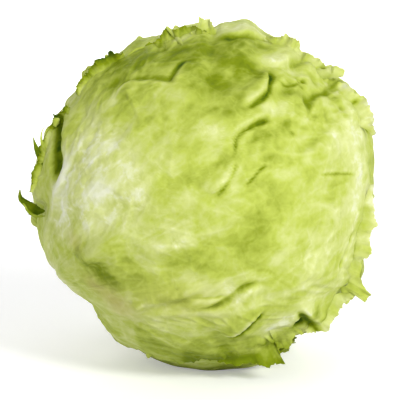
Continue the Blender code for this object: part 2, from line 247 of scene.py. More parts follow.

# Curled and torn bits of the margins that stand out from the outline: the leaf, and along its middle line the
# place, height off the head and half width, in millimetres; how much shade is painted on it, its tone, and
# how far it bows towards the viewer
flapKeys = ("dark", "tone", "bow")
flaps = {
    "hook": ("leaf_front", [(-76.8, -6.8, -2.2, 0.4), (-78.2, -6.6, -0.8, 1.7), (-79.8, -5.9, 0, 2.7),
        (-81.4, -4, 0, 2.2), (-82.4, -1, 0, 1.2), (-82.6, 3.4, 0, 0.2)], (0.5, 0.0, -2.4)),
    "hookRim": ("leaf_front", [(-76.6, -9.2, -1.4, 0.3), (-79, -9, 0.6, 0.6), (-81.6, -6.4, 0.8, 0.6),
        (-83, -3, 0.4, 0.3)], (0.1, 0.0, 0.4)),
    "frillKnob": ("leaf_back", [(-71.5, 34, 0.6, 1.2), (-70.8, 36.5, 1.6, 1.5), (-69.4, 38, 1.4, 0.6)],
        (0.05, -0.4, 0.8)),
    "spikeLong": ("leaf_back", [(-73.5, 19, -2, 1.1), (-74.9, 26, 0.3, 0.6), (-74.5, 33.2, 0.5, 0.1)],
        (0.2, 0.4, 0.3)),
    "spikeShort": ("leaf_back", [(-75, 13, -2, 1.8), (-76.8, 20.5, 0.2, 1.3), (-78.6, 27.8, 0.4, 0.15)],
        (0.5, 0.0, 0.4)),
    "paleStrip": ("leaf_front", [(-36, 67.4, -0.4, 0.3), (-31.5, 69.6, 0.5, 0.6), (-27.8, 71.2, 0.1, 0.3)],
        (0.0, 0.5, 0.3)),
    "topCurl": ("leaf_front", [(-8, 69.6, -0.6, 0.2), (-11, 73.2, 0.5, 0.8), (-14, 76.6, 0.7, 1.1),
        (-17, 79.6, 0.6, 0.6)], (0.0, 0.7, 0.4)),
    "tongue": ("leaf_front", [(53, 58.6, -2.4, 2.6), (58.5, 58.2, 0.4, 2.8), (63.4, 58.4, 0.6, 2.6),
        (66.6, 58.3, 0.4, 1.5)], (0.0, 0.8, 1.3)),
}

# Ragged margins that show on the outline: the leaf, the places that the margin passes, in millimetres, how
# far the strip reaches back over the head, how high it stands there, how much shade is painted towards its
# outer edge, its tone, how much it sways
frillKeys = ("reach", "lift", "dark", "tone", "sway")
frills = {
    "slitTop": ("leaf_back", [(-73.6, 30), (-73.2, 36.5), (-72.4, 39.6), (-69.2, 40.2), (-66.4, 41),
        (-64.8, 43.2), (-63.4, 42.4)], (7.0, 0.4, 0.8, 0.0, 1.0)),
    "slitEdge": ("leaf_back", [(-73, 32), (-74.4, 26.5), (-76.2, 22), (-77.2, 18), (-78.4, 13), (-78.6, 7),
        (-78, 2)], (3.0, 0.3, 0.5, -0.3, 1.0)),
    "leftTeeth": ("leaf_front", [(-58.4, 47), (-58.8, 52), (-56.2, 56.4), (-54, 57.6), (-53.6, 60.6),
        (-50.4, 63.8), (-47.6, 65.2), (-45.6, 66.2), (-43.6, 68.8), (-41.2, 67.4), (-38, 68.2)],
        (4.5, 0.3, 0.42, -0.4, 1.0)),
    "topLeft": ("leaf_front", [(-27, 71.6), (-21.5, 74.4), (-19.5, 76.4), (-17.2, 80.2), (-13.6, 78.6),
        (-11.6, 78.4), (-9.6, 80.6), (-5.2, 80.4), (-2, 78.4), (2, 78)], (8, 0.4, 0.1, -0.4, 1.0)),
    "topTip": ("leaf_front", [(-6, 76.8), (-3.2, 78.4), (-2, 83.2), (0.4, 83.2), (3, 82.4), (4, 79.6),
        (6.5, 78.4)], (6, 0.9, 0.0, 0.5, 0.5)),
    "topRight": ("leaf_front", [(30, 75.6), (36, 74.8), (39.6, 77), (41.6, 74.2), (43.4, 70.6), (44.6, 68),
        (48.6, 68.4), (51.4, 64.6), (55, 64.6), (57, 61.2), (60.4, 61.4), (62.4, 57.2), (63.2, 54.8),
        (66.4, 53.4), (72.6, 48.6), (76.6, 46.8), (77.8, 41.4), (80.8, 37), (80, 34.6), (81, 29)],
        (6, 0.5, 0.0, 0.5, 1.0)),
    "sideBarb": ("leaf_front", [(80, 6), (79.8, -3), (81, -8), (82.8, -13.4), (79.2, -15), (79, -17.6),
        (78, -21), (79.4, -26.6), (78.2, -29.6), (75.6, -29), (74.8, -34)], (5.5, 0.4, 0.0, 0.8, 0.3)),
    "lowBarb": ("leaf_front", [(75.6, -28), (74.8, -34), (73.8, -38), (74.6, -43), (76.4, -44.4),
        (74.4, -45.6), (72, -47), (69.4, -43.4), (67.6, -45.8), (66, -49)], (9, 0.6, 0.05, 0.1, 0.5)),
    "lowRight": ("leaf_front", [(68.4, -42), (67.2, -46.4), (64.4, -51.4), (62.6, -54.8), (59.6, -58.2),
        (56.8, -61.2), (53, -63.8), (48.6, -63.8)], (6, 0.3, 0.0, 0.8, 0.4)),
    "bottomTeeth": ("leaf_front", [(47, -63.4), (43.6, -63.6), (41.6, -67), (39.8, -70.4), (37.6, -71),
        (35, -70.8), (36.4, -73.6), (37, -76.2), (38.2, -77.6), (34.4, -79), (31, -80.8), (27, -79.8),
        (22, -79.2), (15, -78.6), (7, -77.8)], (11, 0.3, 0.0, -0.55, 0.3)),
}

# Points of the front leaf's margin: place, how much longer and how much lifted it is there, half width
frontEdge = {
    "slitTop": (-68, 41, -12.0, 0.0, 12.0), "slit": (-74, 24, -20.0, 0.0, 16.0),
    "slitLow": (-78, 8, -9.0, 0.0, 9.0), "knobA": (-44, 68.5, 0.6, 1.2, 2.2),
    "knobB": (-53, 61, 0.6, 1.2, 2.0), "knobC": (-57, 55, 0.4, 1.2, 1.8), "rim": (17, 82.5, 1.0, 0.8, 7.0),
    "tipB": (80, -28, 1.0, 0.8, 2.6), "tipC": (77.5, -46, 2.0, 1.0, 3.4),
    "notch": (69, -44, -2.5, 0.0, 3.0), "baseTooth": (-26, -76, -3.0, 0.0, 5.0),
    "toothA": (39.5, -71, 1.4, 0.6, 2.4),
}

# Pleats on the sides that the photograph doesn't show, drawn by a seeded rule in each leaf's flat plane, with
# painted shade and highlight as the folds have
restPleats = {
    "seed": 23, "perLeaf": 9, "step": 7 * mm, "steps": (5, 14), "fan": 75 * degree, "bend": 5 * degree,
    "rise": (0.8, 2.6), "steep": (1.4, 3.4), "gentle": (6, 16), "dark": (0.05, 0.38), "frontLimit": 0.52,
    "leaves": ("leaf_back", "leaf_top", "leaf_side", "leaf_under"),
}

# Lighter (above zero) and greener patches that the photograph shows: place, half widths, amount; a few of
# them are painted light, as marked
frontTones = {
    "leftPale": (-46, 6, 18, 22, 1.3), "leftPaleTop": (-51, 26, 11, 9, 1.05),
    "leftEdge": (-67, 4, 8, 24, 1.5), "leftLow": (-71, -12, 5, 8, 0.5), "rightPale": (73, 4, 9, 28, 1.2),
    "rightPaleTop": (66, 30, 10, 12, 0.7), "cheek": (59, 27, 9, 8, 0.8), "bandPale": (5, 30, 11, 6, 0.9),
    "bandLight": (31, 41, 9, 3.5, 0.9), "rightMiddle": (48, -27, 14, 12, 0.8),
    "lowGrey": (2, -40, 12, 7, 0.35), "lowRight": (56, -43, 12, 9, 0.6),
    "upperRight": (50, 54, 13, 10, 0.45), "spotOne": (-41, 44, 2.6, 3, 0.7),
    "spotTwo": (-32, 49, 2, 4, 0.6), "spotThree": (-19, -23.5, 2.4, 1.8, 0.6),
    "lowStrip": (-23, -51, 12, 3, 0.8), "middlePale": (-27, 1, 8, 9, 0.75),
    "leftMiddle": (-53, -6, 9, 16, 0.4), "middleGreen": (-13, 8, 12, 6, -0.35),
    "middleLow": (-14, -22, 14, 8, 0.7), "lowMiddle": (1, -32, 9, 6, -0.45),
    "upperPale": (-14, 49, 6, 4, 0.7), "topRightPale": (37, 60, 8, 6, 0.75),
    "streakPale": (13, 4, 4, 6, 0.7), "foldPale": (17, -43, 9, 4, 0.8),
    "lowRightPale": (41, -54, 8, 6, 0.85), "lowGreen": (21, -53, 6, 4, -0.5),
    "lowPale": (-23, -60, 12, 6, 1.0), "lowPaleRight": (33, -61, 8, 6, 0.8),
    "creaseRight": (41, 10, 9, 9, 0.4), "rightLow": (63, -13, 9, 10, 0.5),
    "centreRight": (27, -9, 12, 9, -0.3), "lowLeftPale": (-43, -34, 5, 4, 0.6),
    "topBand": (-12, 68, 36, 11, -0.95), "shoulderDark": (-22, 60, 10, 7, -0.45),
    # rimPale is the crown rim's pale yellow with a highlight painted on it
    "rimPale": (13, 76.4, 11, 7, 1.2), "rimPaleRight": (29, 73, 7, 5, 1.0),
    # rimBlob, rimStrip and rimHollow are shade painted under the crown's rim
    "notchPale": (43.5, -62.5, 5, 5, 0.9), "rimBlob": (12, 72, 4, 4, -0.8),
    "rimStrip": (27, 69, 8, 4, -0.7), "rimHollow": (19, 68, 13, 4, -0.3),
    "pleatPale": (32, 60.5, 5, 5, 1.1), "leftOlive": (-42, 40, 9, 7, -0.3),
    "topLeft": (-43, 53, 14, 11, -0.75), "topDark": (-6, 60, 5, 7, -0.6),
    # topHollow and hollowLeft are shade painted in the top hollow, over the leaf's deeper green
    "topHollow": (16, 58, 14, 10, -0.95), "hollowLeft": (0, 50, 9, 5, -0.6),
    "topLight": (-16, 60, 6, 4, 0.4), "oliveDip": (-53, -33, 12, 8, -1.4),
    # bottom and bottomLeft are shade painted along the bottom
    "lowOlive": (-36, -40, 14, 8, -0.35), "bottom": (10, -76, 30, 6, -0.9),
    "bottomLeft": (-10, -72, 20, 5, -0.4), "underBand": (10, 40, 14, 6, -0.6),
    "yellow": (31, 27, 9, 9, -1.0), "crossPale": (42, 22, 5, 5, 0.6), "slotGreen": (41, 31, 5, 5, -0.4),
    "underBandLow": (27, 15, 8, 7, -0.35), "low": (25, -22, 11, 9, -0.75),
    # lowOliveRight and upperOlive are painted shadows
    "lowOliveRight": (50, -52, 6, 5, -0.7), "lowBright": (8, -60, 10, 4, -0.2),
    "lowCentre": (0, -34, 7, 4, -0.4), "upperOlive": (50, 41, 6, 5, -0.6),
    "leftRim": (-74, 30, 6, 22, -0.6), "lowLeft": (-70, -28, 7, 8, -0.3),
    "leftGreen": (-43, -21, 7, 7, -0.8), "upperLeftPale": (-62, 33, 6, 8, -0.8),
}
restTones = {"seed": 31, "count": 46, "halfWidth": (9, 24), "amount": 0.7, "frontLimit": 0.5}
rustSpots = {
    "low": (-42, -51, 11, 7, 0.55), "left": (-61, -21, 5, 5, 0.3), "dip": (-53, -42, 7, 4, 0.4),
    "lowWide": (-12, -49, 22, 10, 0.16),
}


def sideViewRadius(turn):
    # the outline's own radius at this turn, as the CAD model has it
    radii = np.array(head["outline"])
    place = (turn / (2 * math.pi) * len(radii)) % len(radii)
    first = np.floor(place).astype(int)
    return smoothLine(*(radii[(first + k) % len(radii)] for k in (-1, 0, 1, 2)), place - first)


def trimmed(turn):
    out = np.zeros(len(turn))
    for place, more, width in outlineTrim.values():
        off = (turn / degree - place + 180) % 360 - 180
        out += more * mm * bell(off, width)
    return out


def lumpHeight(directions):
    rng = np.random.default_rng(head["lumpSeed"])
    height = np.zeros(len(directions))
    for centre in unitRows(rng.normal(size=(head["lumpCount"], 3))):
        spread = rng.uniform(*head["lumpSpread"])
        angle = np.arccos(np.clip(directions @ centre, -1, 1))
        height += rng.uniform(-1, 1) * head["lumpHeight"] * bell(angle, spread)
    return height


def nearLine(points, line):
    # for points near a line over the head: distance, share of the way along it, and 1 on its left
    best = np.full(len(points), np.inf)
    share, side = np.zeros(len(points)), np.ones(len(points))
    spans = len(line) - 1
    for i in range(spans):
        step = line[i + 1] - line[i]
        along = np.clip((points - line[i]) @ step / (step @ step), 0, 1)
        off = points - line[i] - along[:, None] * step
        distance = np.linalg.norm(off, axis=1)
        left = off @ np.cross(line[i], step)
        nearer = distance < best
        best = np.where(nearer, distance, best)
        share = np.where(nearer, (i + along) / spans, share)
        side = np.where(nearer, np.where(left >= 0, 1, -1), side)
    return best, share, side


foldShape = {
    "fade": 0.22,  # share of the line over which a fold rises at either end
    "valleyPlace": 1.7,  # beside the line, and its width, as shares of the steep width
    "valleyWidth": 0.9,
    "valleyDepth": 0.35,
    # the width of the highlight painted along a fold's line, in millimetres
    "paintedHighlightWidth": 1.1,
    # how strongly shade is painted along a slit
    "slitPaintedShade": 1.5,
    "farSide": -0.2,  # a fold isn't worked out past here, as the cosine of the angle from its middle
}


def foldRelief(directions, line, fold):
    # height in metres of one fold at these directions, the shade painted in its valley and the highlight
    # painted along its line
    distance, share, side = nearLine(directions * head["radius"], line)
    distance = distance / mm
    steep = fold["steep"]
    ends = smoothStep(share / foldShape["fade"]) * smoothStep((1 - share) / foldShape["fade"])
    gentle = side == fold["side"]
    rise = bell(distance, np.where(gentle, fold["gentle"], steep))
    valley = bell(distance - foldShape["valleyPlace"] * steep, foldShape["valleyWidth"] * steep) * ~gentle
    height = fold["rise"] * (rise - foldShape["valleyDepth"] * valley * (fold["rise"] > 0))
    # a highlight painted along the fold's line, as strong as the shade painted in its valley
    lip = bell(distance, foldShape["paintedHighlightWidth"]) * fold["dark"]
    if fold["rise"] < 0:  # a slit is dark along its own line
        # a slit gets its painted shade along its own line and no painted highlight
        valley = np.minimum(foldShape["slitPaintedShade"] * bell(distance, steep), 1)
        lip = 0 * lip
    return height * ends * mm, valley * ends * fold["dark"], lip * ends


def restLines():
    # the pleats of the sides that the photograph doesn't show
    rng = np.random.default_rng(restPleats["seed"])
    front = seenAt([(0, 0)])[0]
    for name in restPleats["leaves"]:
        leaf = leaves[name]
        for _ in range(restPleats["perLeaf"]):
            heading = rng.uniform(-1, 1) * restPleats["fan"]
            start = rng.uniform(8, 60) * mm
            flat = [wayAt(heading) * start - [0, leaf.base * head["radius"]]]
            for _ in range(rng.integers(*restPleats["steps"])):
                heading += rng.normal() * restPleats["bend"]
                flat.append(flat[-1] + restPleats["step"] * wayAt(heading))
            fold = {key: rng.uniform(*restPleats[key]) for key in ("rise", "steep", "gentle", "dark")}
            fold["side"] = rng.choice([-1, 1])
            line = leaf.directions(np.array(flat))
            if (line @ front).max() <= restPleats["frontLimit"]:
                yield curveThrough(line, 3) * head["radius"], fold


def headForm(directions):
    # the height of all folds and hollows, which every layer follows, the shade painted in them and the
    # highlight painted on their lips
    height, dark, light = np.zeros((3, len(directions)))
    for line, fold in foldLines:
        near = (directions @ unitRows(line.mean(axis=0)[None])[0]) > foldShape["farSide"]
        rise, shade, lip = foldRelief(directions[near], line, fold)
        height[near] += rise
        dark[near] = np.maximum(dark[near], shade)
        light[near] = np.maximum(light[near], lip)
    for x, z, width, rise, shade in frontDents.values():
        distance = np.linalg.norm(directions - seenAt(onHead([(x, z)])), axis=1) * head["radius"] / mm
        here = bell(distance, width)
        height += rise * mm * here
        dark = np.maximum(dark, shade * here)
    return height, dark, light


def patches(directions, spots):
    # the sum of soft oval patches, each given by its place, half widths and amount
    total = np.zeros(len(directions))
    for x, z, wide, high, amount in spots:
        centre, right, up = seenAt([(x, z), (x + 1, z), (x, z + 1)])
        across = (directions - centre) @ unitRows((right - centre)[None])[0]
        rising = (directions - centre) @ unitRows((up - centre)[None])[0]
        away = np.maximum(np.linalg.norm(directions - centre, axis=1) ** 2 - across**2 - rising**2, 0)
        size = (across / wide) ** 2 + (rising / high) ** 2 + away / (wide * high)
        total += amount * np.exp(-size * (head["radius"] / mm) ** 2)
    return total


def toneAt(directions):
    rng = np.random.default_rng(restTones["seed"])
    front = seenAt([(0, 0)])[0]
    total = patches(directions, frontTones.values())
    for centre in unitRows(rng.normal(size=(restTones["count"], 3))):
        width = rng.uniform(*restTones["halfWidth"]) * mm
        amount = rng.uniform(-1, 1) * restTones["amount"]
        if centre @ front < restTones["frontLimit"]:
            distance = np.linalg.norm(directions - centre, axis=1) * head["radius"]
            total += amount * bell(distance, width)
    return total


def headRadius(directions, depth):
    # from the head's centre to the surface that lies this deep under its outside
    x, _, z = directions.T
    acrossView = x**2 + z**2
    turn = np.arctan2(z, x)
    radius = head["depthRadius"] + acrossView * (sideViewRadius(turn) - head["depthRadius"])
    radius += acrossView**2 * trimmed(turn)
    fromStem = np.arccos(np.clip(directions @ np.array(head["stemPoints"]), -1, 1))
    radius -= head["baseDip"] * bell(fromStem, head["baseDipSpread"])
    form, dark, light = headForm(directions)
    radius += lumpHeight(directions) + form * undersideClear(directions) - depth
    level = (head["restHeight"] - depth) / np.maximum(-z, tiny)
    return np.minimum(radius, level), dark, light


def undersideClear(directions):
    # 0 under the head, where nothing is raised, and 1 elsewhere
    low, high = head["underside"]
    return smoothStep((directions[:, 2] - low) / (high - low))


class Leaf:
    def __init__(self, name, turn, middle, right, left, tip, seed, grid):
        self.name, self.seed, self.grid = name, seed, grid
        self.middle, self.right, self.left, self.tip = (a * degree for a in (middle, right, left, tip))
        self.base = self.middle - leafShape["stemHalfAngle"]  # from the middle to the stem's side
        stem = head["stemPoints"]
        front = Vector((0, -1, 0))
        front = (front - front.dot(stem) * stem).normalized()
        above = front.cross(stem)
        above = above if above.z > 0 else -above
        outwards = math.cos(turn * degree) * front + math.sin(turn * degree) * above
        centre = math.cos(self.middle) * stem + math.sin(self.middle) * outwards
        toTip = math.cos(self.middle) * outwards - math.sin(self.middle) * stem
        self.axes = np.array([toTip.cross(centre), toTip, centre])

    def directions(self, flat):
        distance = np.linalg.norm(flat, axis=1)
        along = flat / np.maximum(distance, tiny)[:, None]
        angle = distance / head["radius"]
        return np.column_stack([along * np.sin(angle)[:, None], np.cos(angle)]) @ self.axes

    def flat(self, directions):
        x, y, z = (directions @ self.axes.T).T
        stretch = np.arccos(np.clip(z, -1, 1)) / np.maximum(np.hypot(x, y), tiny)
        return head["radius"] * np.column_stack([x * stretch, y * stretch])

    def reach(self, bearing):
        # how far the leaf spreads from its middle, at a bearing that is 90 degrees at the tip
        towardsTip = np.clip(np.sin(bearing), 0, 1) ** leafShape["tipShape"]
        fromBase = (bearing + 1.5 * math.pi) % (2 * math.pi) - math.pi
        side = (self.right + self.left + (self.right - self.left) * np.cos(bearing)) / 2
        angle = side + (self.tip - side) * towardsTip
        narrowing = bell(fromBase, leafShape["baseSpread"])
        uneven = leafShape["lobeReach"] * waveSum(bearing, leafShape["lobeWaves"], self.seed)
        uneven = uneven + leafShape["toothReach"] * waveSum(bearing, leafShape["toothWaves"], self.seed + 100)
        angle = angle + uneven * (1 - narrowing) - (side - self.middle + leafShape["baseWrap"]) * narrowing
        return np.minimum(angle, self.stemSide(fromBase)) * head["radius"]

    def stemSide(self, fromBase):
        # the angle from the leaf's middle to the stem's near side
        a, b = math.cos(self.middle), math.sin(self.middle) * np.cos(fromBase)
        share = math.cos(leafShape["stemHalfAngle"]) / np.hypot(a, b)
        meets = (share < 1) & (b > 0)
        return np.where(meets, np.arctan2(b, a) - np.arccos(np.where(meets, share, 1)), math.inf)

    def edgeDistance(self, flat):
        return self.reach(np.arctan2(flat[:, 1], flat[:, 0])) - np.linalg.norm(flat, axis=1)

    def cover(self, directions, lip=head["coverLip"], fall=head["coverFall"]):
        # 1 where this leaf presses on what lies under it, falling to 0 past its edge
        outside = -self.edgeDistance(self.flat(directions)) - lip
        return 1 - smoothStep(outside / fall)

    def fromBase(self, flat):
        return flat + [0, self.base * head["radius"]]

    def edgeShape(self, bearing):
        # what the margin's own points add to its reach and to its lift at these bearings
        longer, lift = np.zeros(len(bearing)), np.zeros(len(bearing))
        if self.name != "leaf_front":
            return longer, lift
        for x, z, more, up, width in frontEdge.values():
            place = self.flat(seenAt([(x, z)]))[0]
            turned = (bearing - math.atan2(place[1], place[0]) + math.pi) % (2 * math.pi) - math.pi
            here = bell(turned * np.linalg.norm(place), width * mm)
            longer += more * mm * here
            lift += up * mm * here
        return longer, lift

    def ruffle(self, flat, bearing):
        # the waves and frills that lift the leaf's margin off the head
        inwards = np.clip(self.edgeDistance(flat), 0, None)
        even = leafShape["ruffleEven"]
        uneven = even + (1 - even) * waveSum(bearing, leafShape["lobeWaves"], self.seed + 200)
        waves = (1 + waveSum(bearing, leafShape["ruffleWaves"], self.seed + 300)) / 2
        frills = waveSum(bearing, leafShape["frillWaves"], self.seed + 400) - leafShape["frillGap"]
        frills = np.clip(frills, 0, None) * self.gate(bearing, 450)
        begin, whole = leafShape["ruffleStart"]
        started = smoothStep((np.linalg.norm(self.fromBase(flat), axis=1) - begin) / (whole - begin))
        _, lift = self.edgeShape(bearing)
        height = leafShape["ruffleHeight"] * (uneven * waves - leafShape["ruffleMiddle"])
        wide = height * bell(inwards, leafShape["ruffleDepth"])
        fine = (leafShape["frillHeight"] * frills + lift) * bell(inwards, leafShape["frillDepth"])
        return (wide + fine) * started

    def gate(self, bearing, seed):
        middle, height = leafShape["gate"]
        return smoothStep(middle + height * waveSum(bearing, leafShape["gateWaves"], self.seed + seed))


def leafSurface(leaf, over, flat, bearing=None):
    # points of a leaf's outer face without its ribs, and what its material needs to know of each
    directions = leaf.directions(flat)
    free, depth = np.ones(len(flat)), np.zeros(len(flat))
    for other in over:
        cover = other.cover(directions)
        free = free * (1 - cover)
        depth = depth + head["layerPitch"] * cover
    clear = undersideClear(directions)
    radius, dark, light = headRadius(directions, depth)
    if bearing is not None:
        radius = radius + leaf.ruffle(flat, bearing) * free * clear
    points = directions * radius[:, None] + [0, 0, head["restHeight"]]
    # the folds' and hollows' darkness goes on as painted shade, the lightness of their lips as painted
    # highlight
    return points, {"directions": directions, "free": free * clear, "crease": dark, "lip": light}


leaves = {name: Leaf(name, *place) for name, place in leafPlaces.items()}
foldLines = [
    (curveThrough(seenAt(onHead(path)), 3) * head["radius"], dict(zip(foldKeys, fold)))
    for path, fold in frontFolds.values()
]
foldLines += list(restLines())
print("folds drawn:", len(foldLines))

# The ribs that fan out from each leaf's base, and the veins that branch from them
ribShape = {
    "headings": [h * degree for h in (-72, -46, -22, 0, 22, 46, 72)],
    "bend": 0.30, "fan": 10 * mm, "root": 3 * mm, "step": 4 * mm, "end": 12 * mm,
    "halfWidth": (6.0 * mm, 1.6 * mm), "rise": 1.7 * mm, "sideLoss": 0.45, "taper": 1.7,
    "sway": 2.2 * degree,
}
veinShape = {
    "every": 11 * mm, "heading": (34 * degree, 56 * degree), "turn": -1.6 * degree, "step": 2.5 * mm,
    "length": (16 * mm, 46 * mm), "end": 6 * mm, "halfWidth": (1.5 * mm, 0.7 * mm), "rise": 0.42 * mm,
    "sway": 5 * degree,
}


def ribPaths(leaf):
    # for each rib, its points in the flat plane and its half width and height at each
    rng = np.random.default_rng(leaf.seed + 500)
    longest = (leaf.base + leaf.tip) * head["radius"]
    for heading in ribShape["headings"]:
        lean = heading / max(ribShape["headings"])
        points = [np.array([lean * ribShape["fan"], ribShape["root"] - leaf.base * head["radius"]])]
        wander = 0.0
        while leaf.edgeDistance(points[-1][None])[0] > ribShape["end"] or len(points) < 6:
            travelled = ribShape["step"] * len(points)
            wander = 0.9 * wander + rng.normal() * ribShape["sway"]
            now = heading * (1 - ribShape["bend"] * travelled / longest) + wander
            points.append(points[-1] + ribShape["step"] * wayAt(now))
        share = np.linspace(0, 1, len(points))
        size = 1 - ribShape["sideLoss"] * abs(lean)
        first, last = ribShape["halfWidth"]
        rises = ribShape["rise"] * size * (1 - share) ** ribShape["taper"]
        yield np.array(points), (first + (last - first) * share) * size, rises


def veinPaths(leaf, ribs):
    rng = np.random.default_rng(leaf.seed + 600)
    for points, _, _ in ribs:
        steps = np.diff(points, axis=0)
        every = int(veinShape["every"] / ribShape["step"])
        for i in range(2, len(steps), every):
            for side in (-1, 1):
                heading = math.atan2(*steps[i]) + side * rng.uniform(*veinShape["heading"])
                line = [points[i]]
                for _ in range(int(rng.uniform(*veinShape["length"]) / veinShape["step"])):
                    heading += side * veinShape["turn"] + rng.normal() * veinShape["sway"]
                    line.append(line[-1] + veinShape["step"] * wayAt(heading))
                    if leaf.edgeDistance(line[-1][None])[0] < veinShape["end"]:
                        break
                share = np.linspace(0, 1, len(line))
                first, last = veinShape["halfWidth"]
                if len(line) > 3:
                    yield np.array(line), first + (last - first) * share, veinShape["rise"] * (1 - share)


def placeObject(name, data):
    obj = bpy.data.objects.new(name, data)
    bpy.context.scene.collection.objects.link(obj)
    return obj


def lineObject(name, leaf, over, paths):
    # the paths as lines over the head, with their half widths and heights as attributes
    flat = np.vstack([path for path, _, _ in paths])
    mesh = bpy.data.meshes.new(name)
    starts = np.cumsum([0] + [len(path) for path, _, _ in paths])
    edges = [(i, i + 1) for first, last in zip(starts, starts[1:]) for i in range(first, last - 1)]
    mesh.from_pydata(leafSurface(leaf, over, flat)[0].tolist(), edges, [])
    for label, index in (("halfWidth", 1), ("rise", 2)):
        values = np.concatenate([path[index] for path in paths])
        mesh.attributes.new(label, "FLOAT", "POINT").data.foreach_set("value", values.astype(np.float32))
    return placeObject(name, mesh)


class Bench:
    # adds nodes to one tree and wires them up
    def __init__(self, tree, ends=True):
        self.tree = tree
        if ends:
            self.inlet = tree.nodes.new("NodeGroupInput")
            self.outlet = tree.nodes.new("NodeGroupOutput")

    def socket(self, name, kind, output=False, value=None):
        way = "OUTPUT" if output else "INPUT"
        made = self.tree.interface.new_socket(name, in_out=way, socket_type="NodeSocket" + kind)
        if value is not None:
            made.default_value = value

    def given(self, name):
        return self.inlet.outputs[name]

    def add(self, kind, inputs=None, **settings):
        node = self.tree.nodes.new(kind)
        for name, value in settings.items():
            setattr(node, name, value)
        self.wire(node, inputs or {})
        return node

    def wire(self, node, inputs):
        for name, value in inputs.items():
            if isinstance(value, bpy.types.NodeSocket):
                self.tree.links.new(value, node.inputs[name])
            else:
                node.inputs[name].default_value = value

    def math(self, operation, *values, clamp=False):
        inputs = dict(enumerate(values))
        return self.add("ShaderNodeMath", inputs, operation=operation, use_clamp=clamp).outputs[0]

    def vector(self, operation, *values, scale=None):
        inputs = dict(enumerate(values))
        if scale is not None:
            inputs["Scale"] = scale
        return self.add("ShaderNodeVectorMath", inputs, operation=operation).outputs["Vector"]

    def times(self, a, b):
        return self.math("MULTIPLY", a, b)

    def plus(self, a, b, clamp=False):
        return self.math("ADD", a, b, clamp=clamp)

    def less(self, a, b):
        return self.math("SUBTRACT", a, b)

    def attribute(self, name, output="Fac"):
        return self.add("ShaderNodeAttribute", attribute_name=name).outputs[output]

    def stored(self, name, kind="FLOAT"):
        node = self.add("GeometryNodeInputNamedAttribute", {"Name": name}, data_type=kind)
        return node.outputs["Attribute"]

    def noise(self, place, scale, detail=2.0, roughness=0.5, distortion=0.0, seed=None, output=0):
        inputs = {"Vector": place, "Scale": scale, "Detail": detail, "Roughness": roughness}
        inputs["Distortion"] = distortion
        if seed is None:
            return self.add("ShaderNodeTexNoise", inputs).outputs[output]
        inputs["W"] = seed
        return self.add("ShaderNodeTexNoise", inputs, noise_dimensions="4D").outputs[output]

    def ramp(self, factor, stops):
        node = self.add("ShaderNodeValToRGB", {"Fac": factor})
        elements = node.color_ramp.elements
        while len(elements) < len(stops):
            elements.new(0.5)
        for element, (place, colour) in zip(elements, stops):
            element.position = place
            element.color = (*colour, 1)
        return node.outputs["Color"]

    def blend(self, factor, a, b):
        return self.add("ShaderNodeMix", {0: factor, 6: a, 7: b}, data_type="RGBA").outputs[2]

    def spread(self, value, low, high, toLow=0.0, toHigh=1.0, smooth=True):
        kind = "SMOOTHSTEP" if smooth else "LINEAR"
        inputs = {"Value": value, "From Min": low, "From Max": high, "To Min": toLow, "To Max": toHigh}
        return self.add("ShaderNodeMapRange", inputs, interpolation_type=kind).outputs["Result"]

    def finish(self, outputs):
        self.wire(self.outlet, outputs)


# A rib's or vein's section, with places as shares of its half width and the depth as one of its height
ridgeShape = {"sharpness": 2.2, "groovePlace": 1.45, "grooveSharpness": 6.0, "grooveDepth": 0.22}


def ridgeNodes(bench, lines):
    # how high the nearest line of this object stands at each point, and 1 on the line itself
    shape = bench.add("GeometryNodeObjectInfo", {"Object": lines}).outputs["Geometry"]
    near = bench.add("GeometryNodeProximity", {"Geometry": shape}, target_element="EDGES")
    index = bench.add("GeometryNodeSampleNearest", {"Geometry": shape}, domain="POINT").outputs["Index"]
    halfWidth, rise = (bench.add(
        "GeometryNodeSampleIndex", {"Geometry": shape, "Value": bench.stored(label), "Index": index},
        data_type="FLOAT", domain="POINT").outputs["Value"] for label in ("halfWidth", "rise"))
    away = bench.math("DIVIDE", near.outputs["Distance"], halfWidth)
    mask = bench.math("EXPONENT", bench.times(bench.times(away, away), -ridgeShape["sharpness"]))
    beside = bench.less(away, ridgeShape["groovePlace"])
    groove = bench.math("EXPONENT", bench.times(bench.times(beside, beside), -ridgeShape["grooveSharpness"]))
    return bench.times(bench.less(mask, bench.times(groove, ridgeShape["grooveDepth"])), rise), mask


coveredRibs = 0.08  # the share of their height that ribs keep where another leaf lies on them


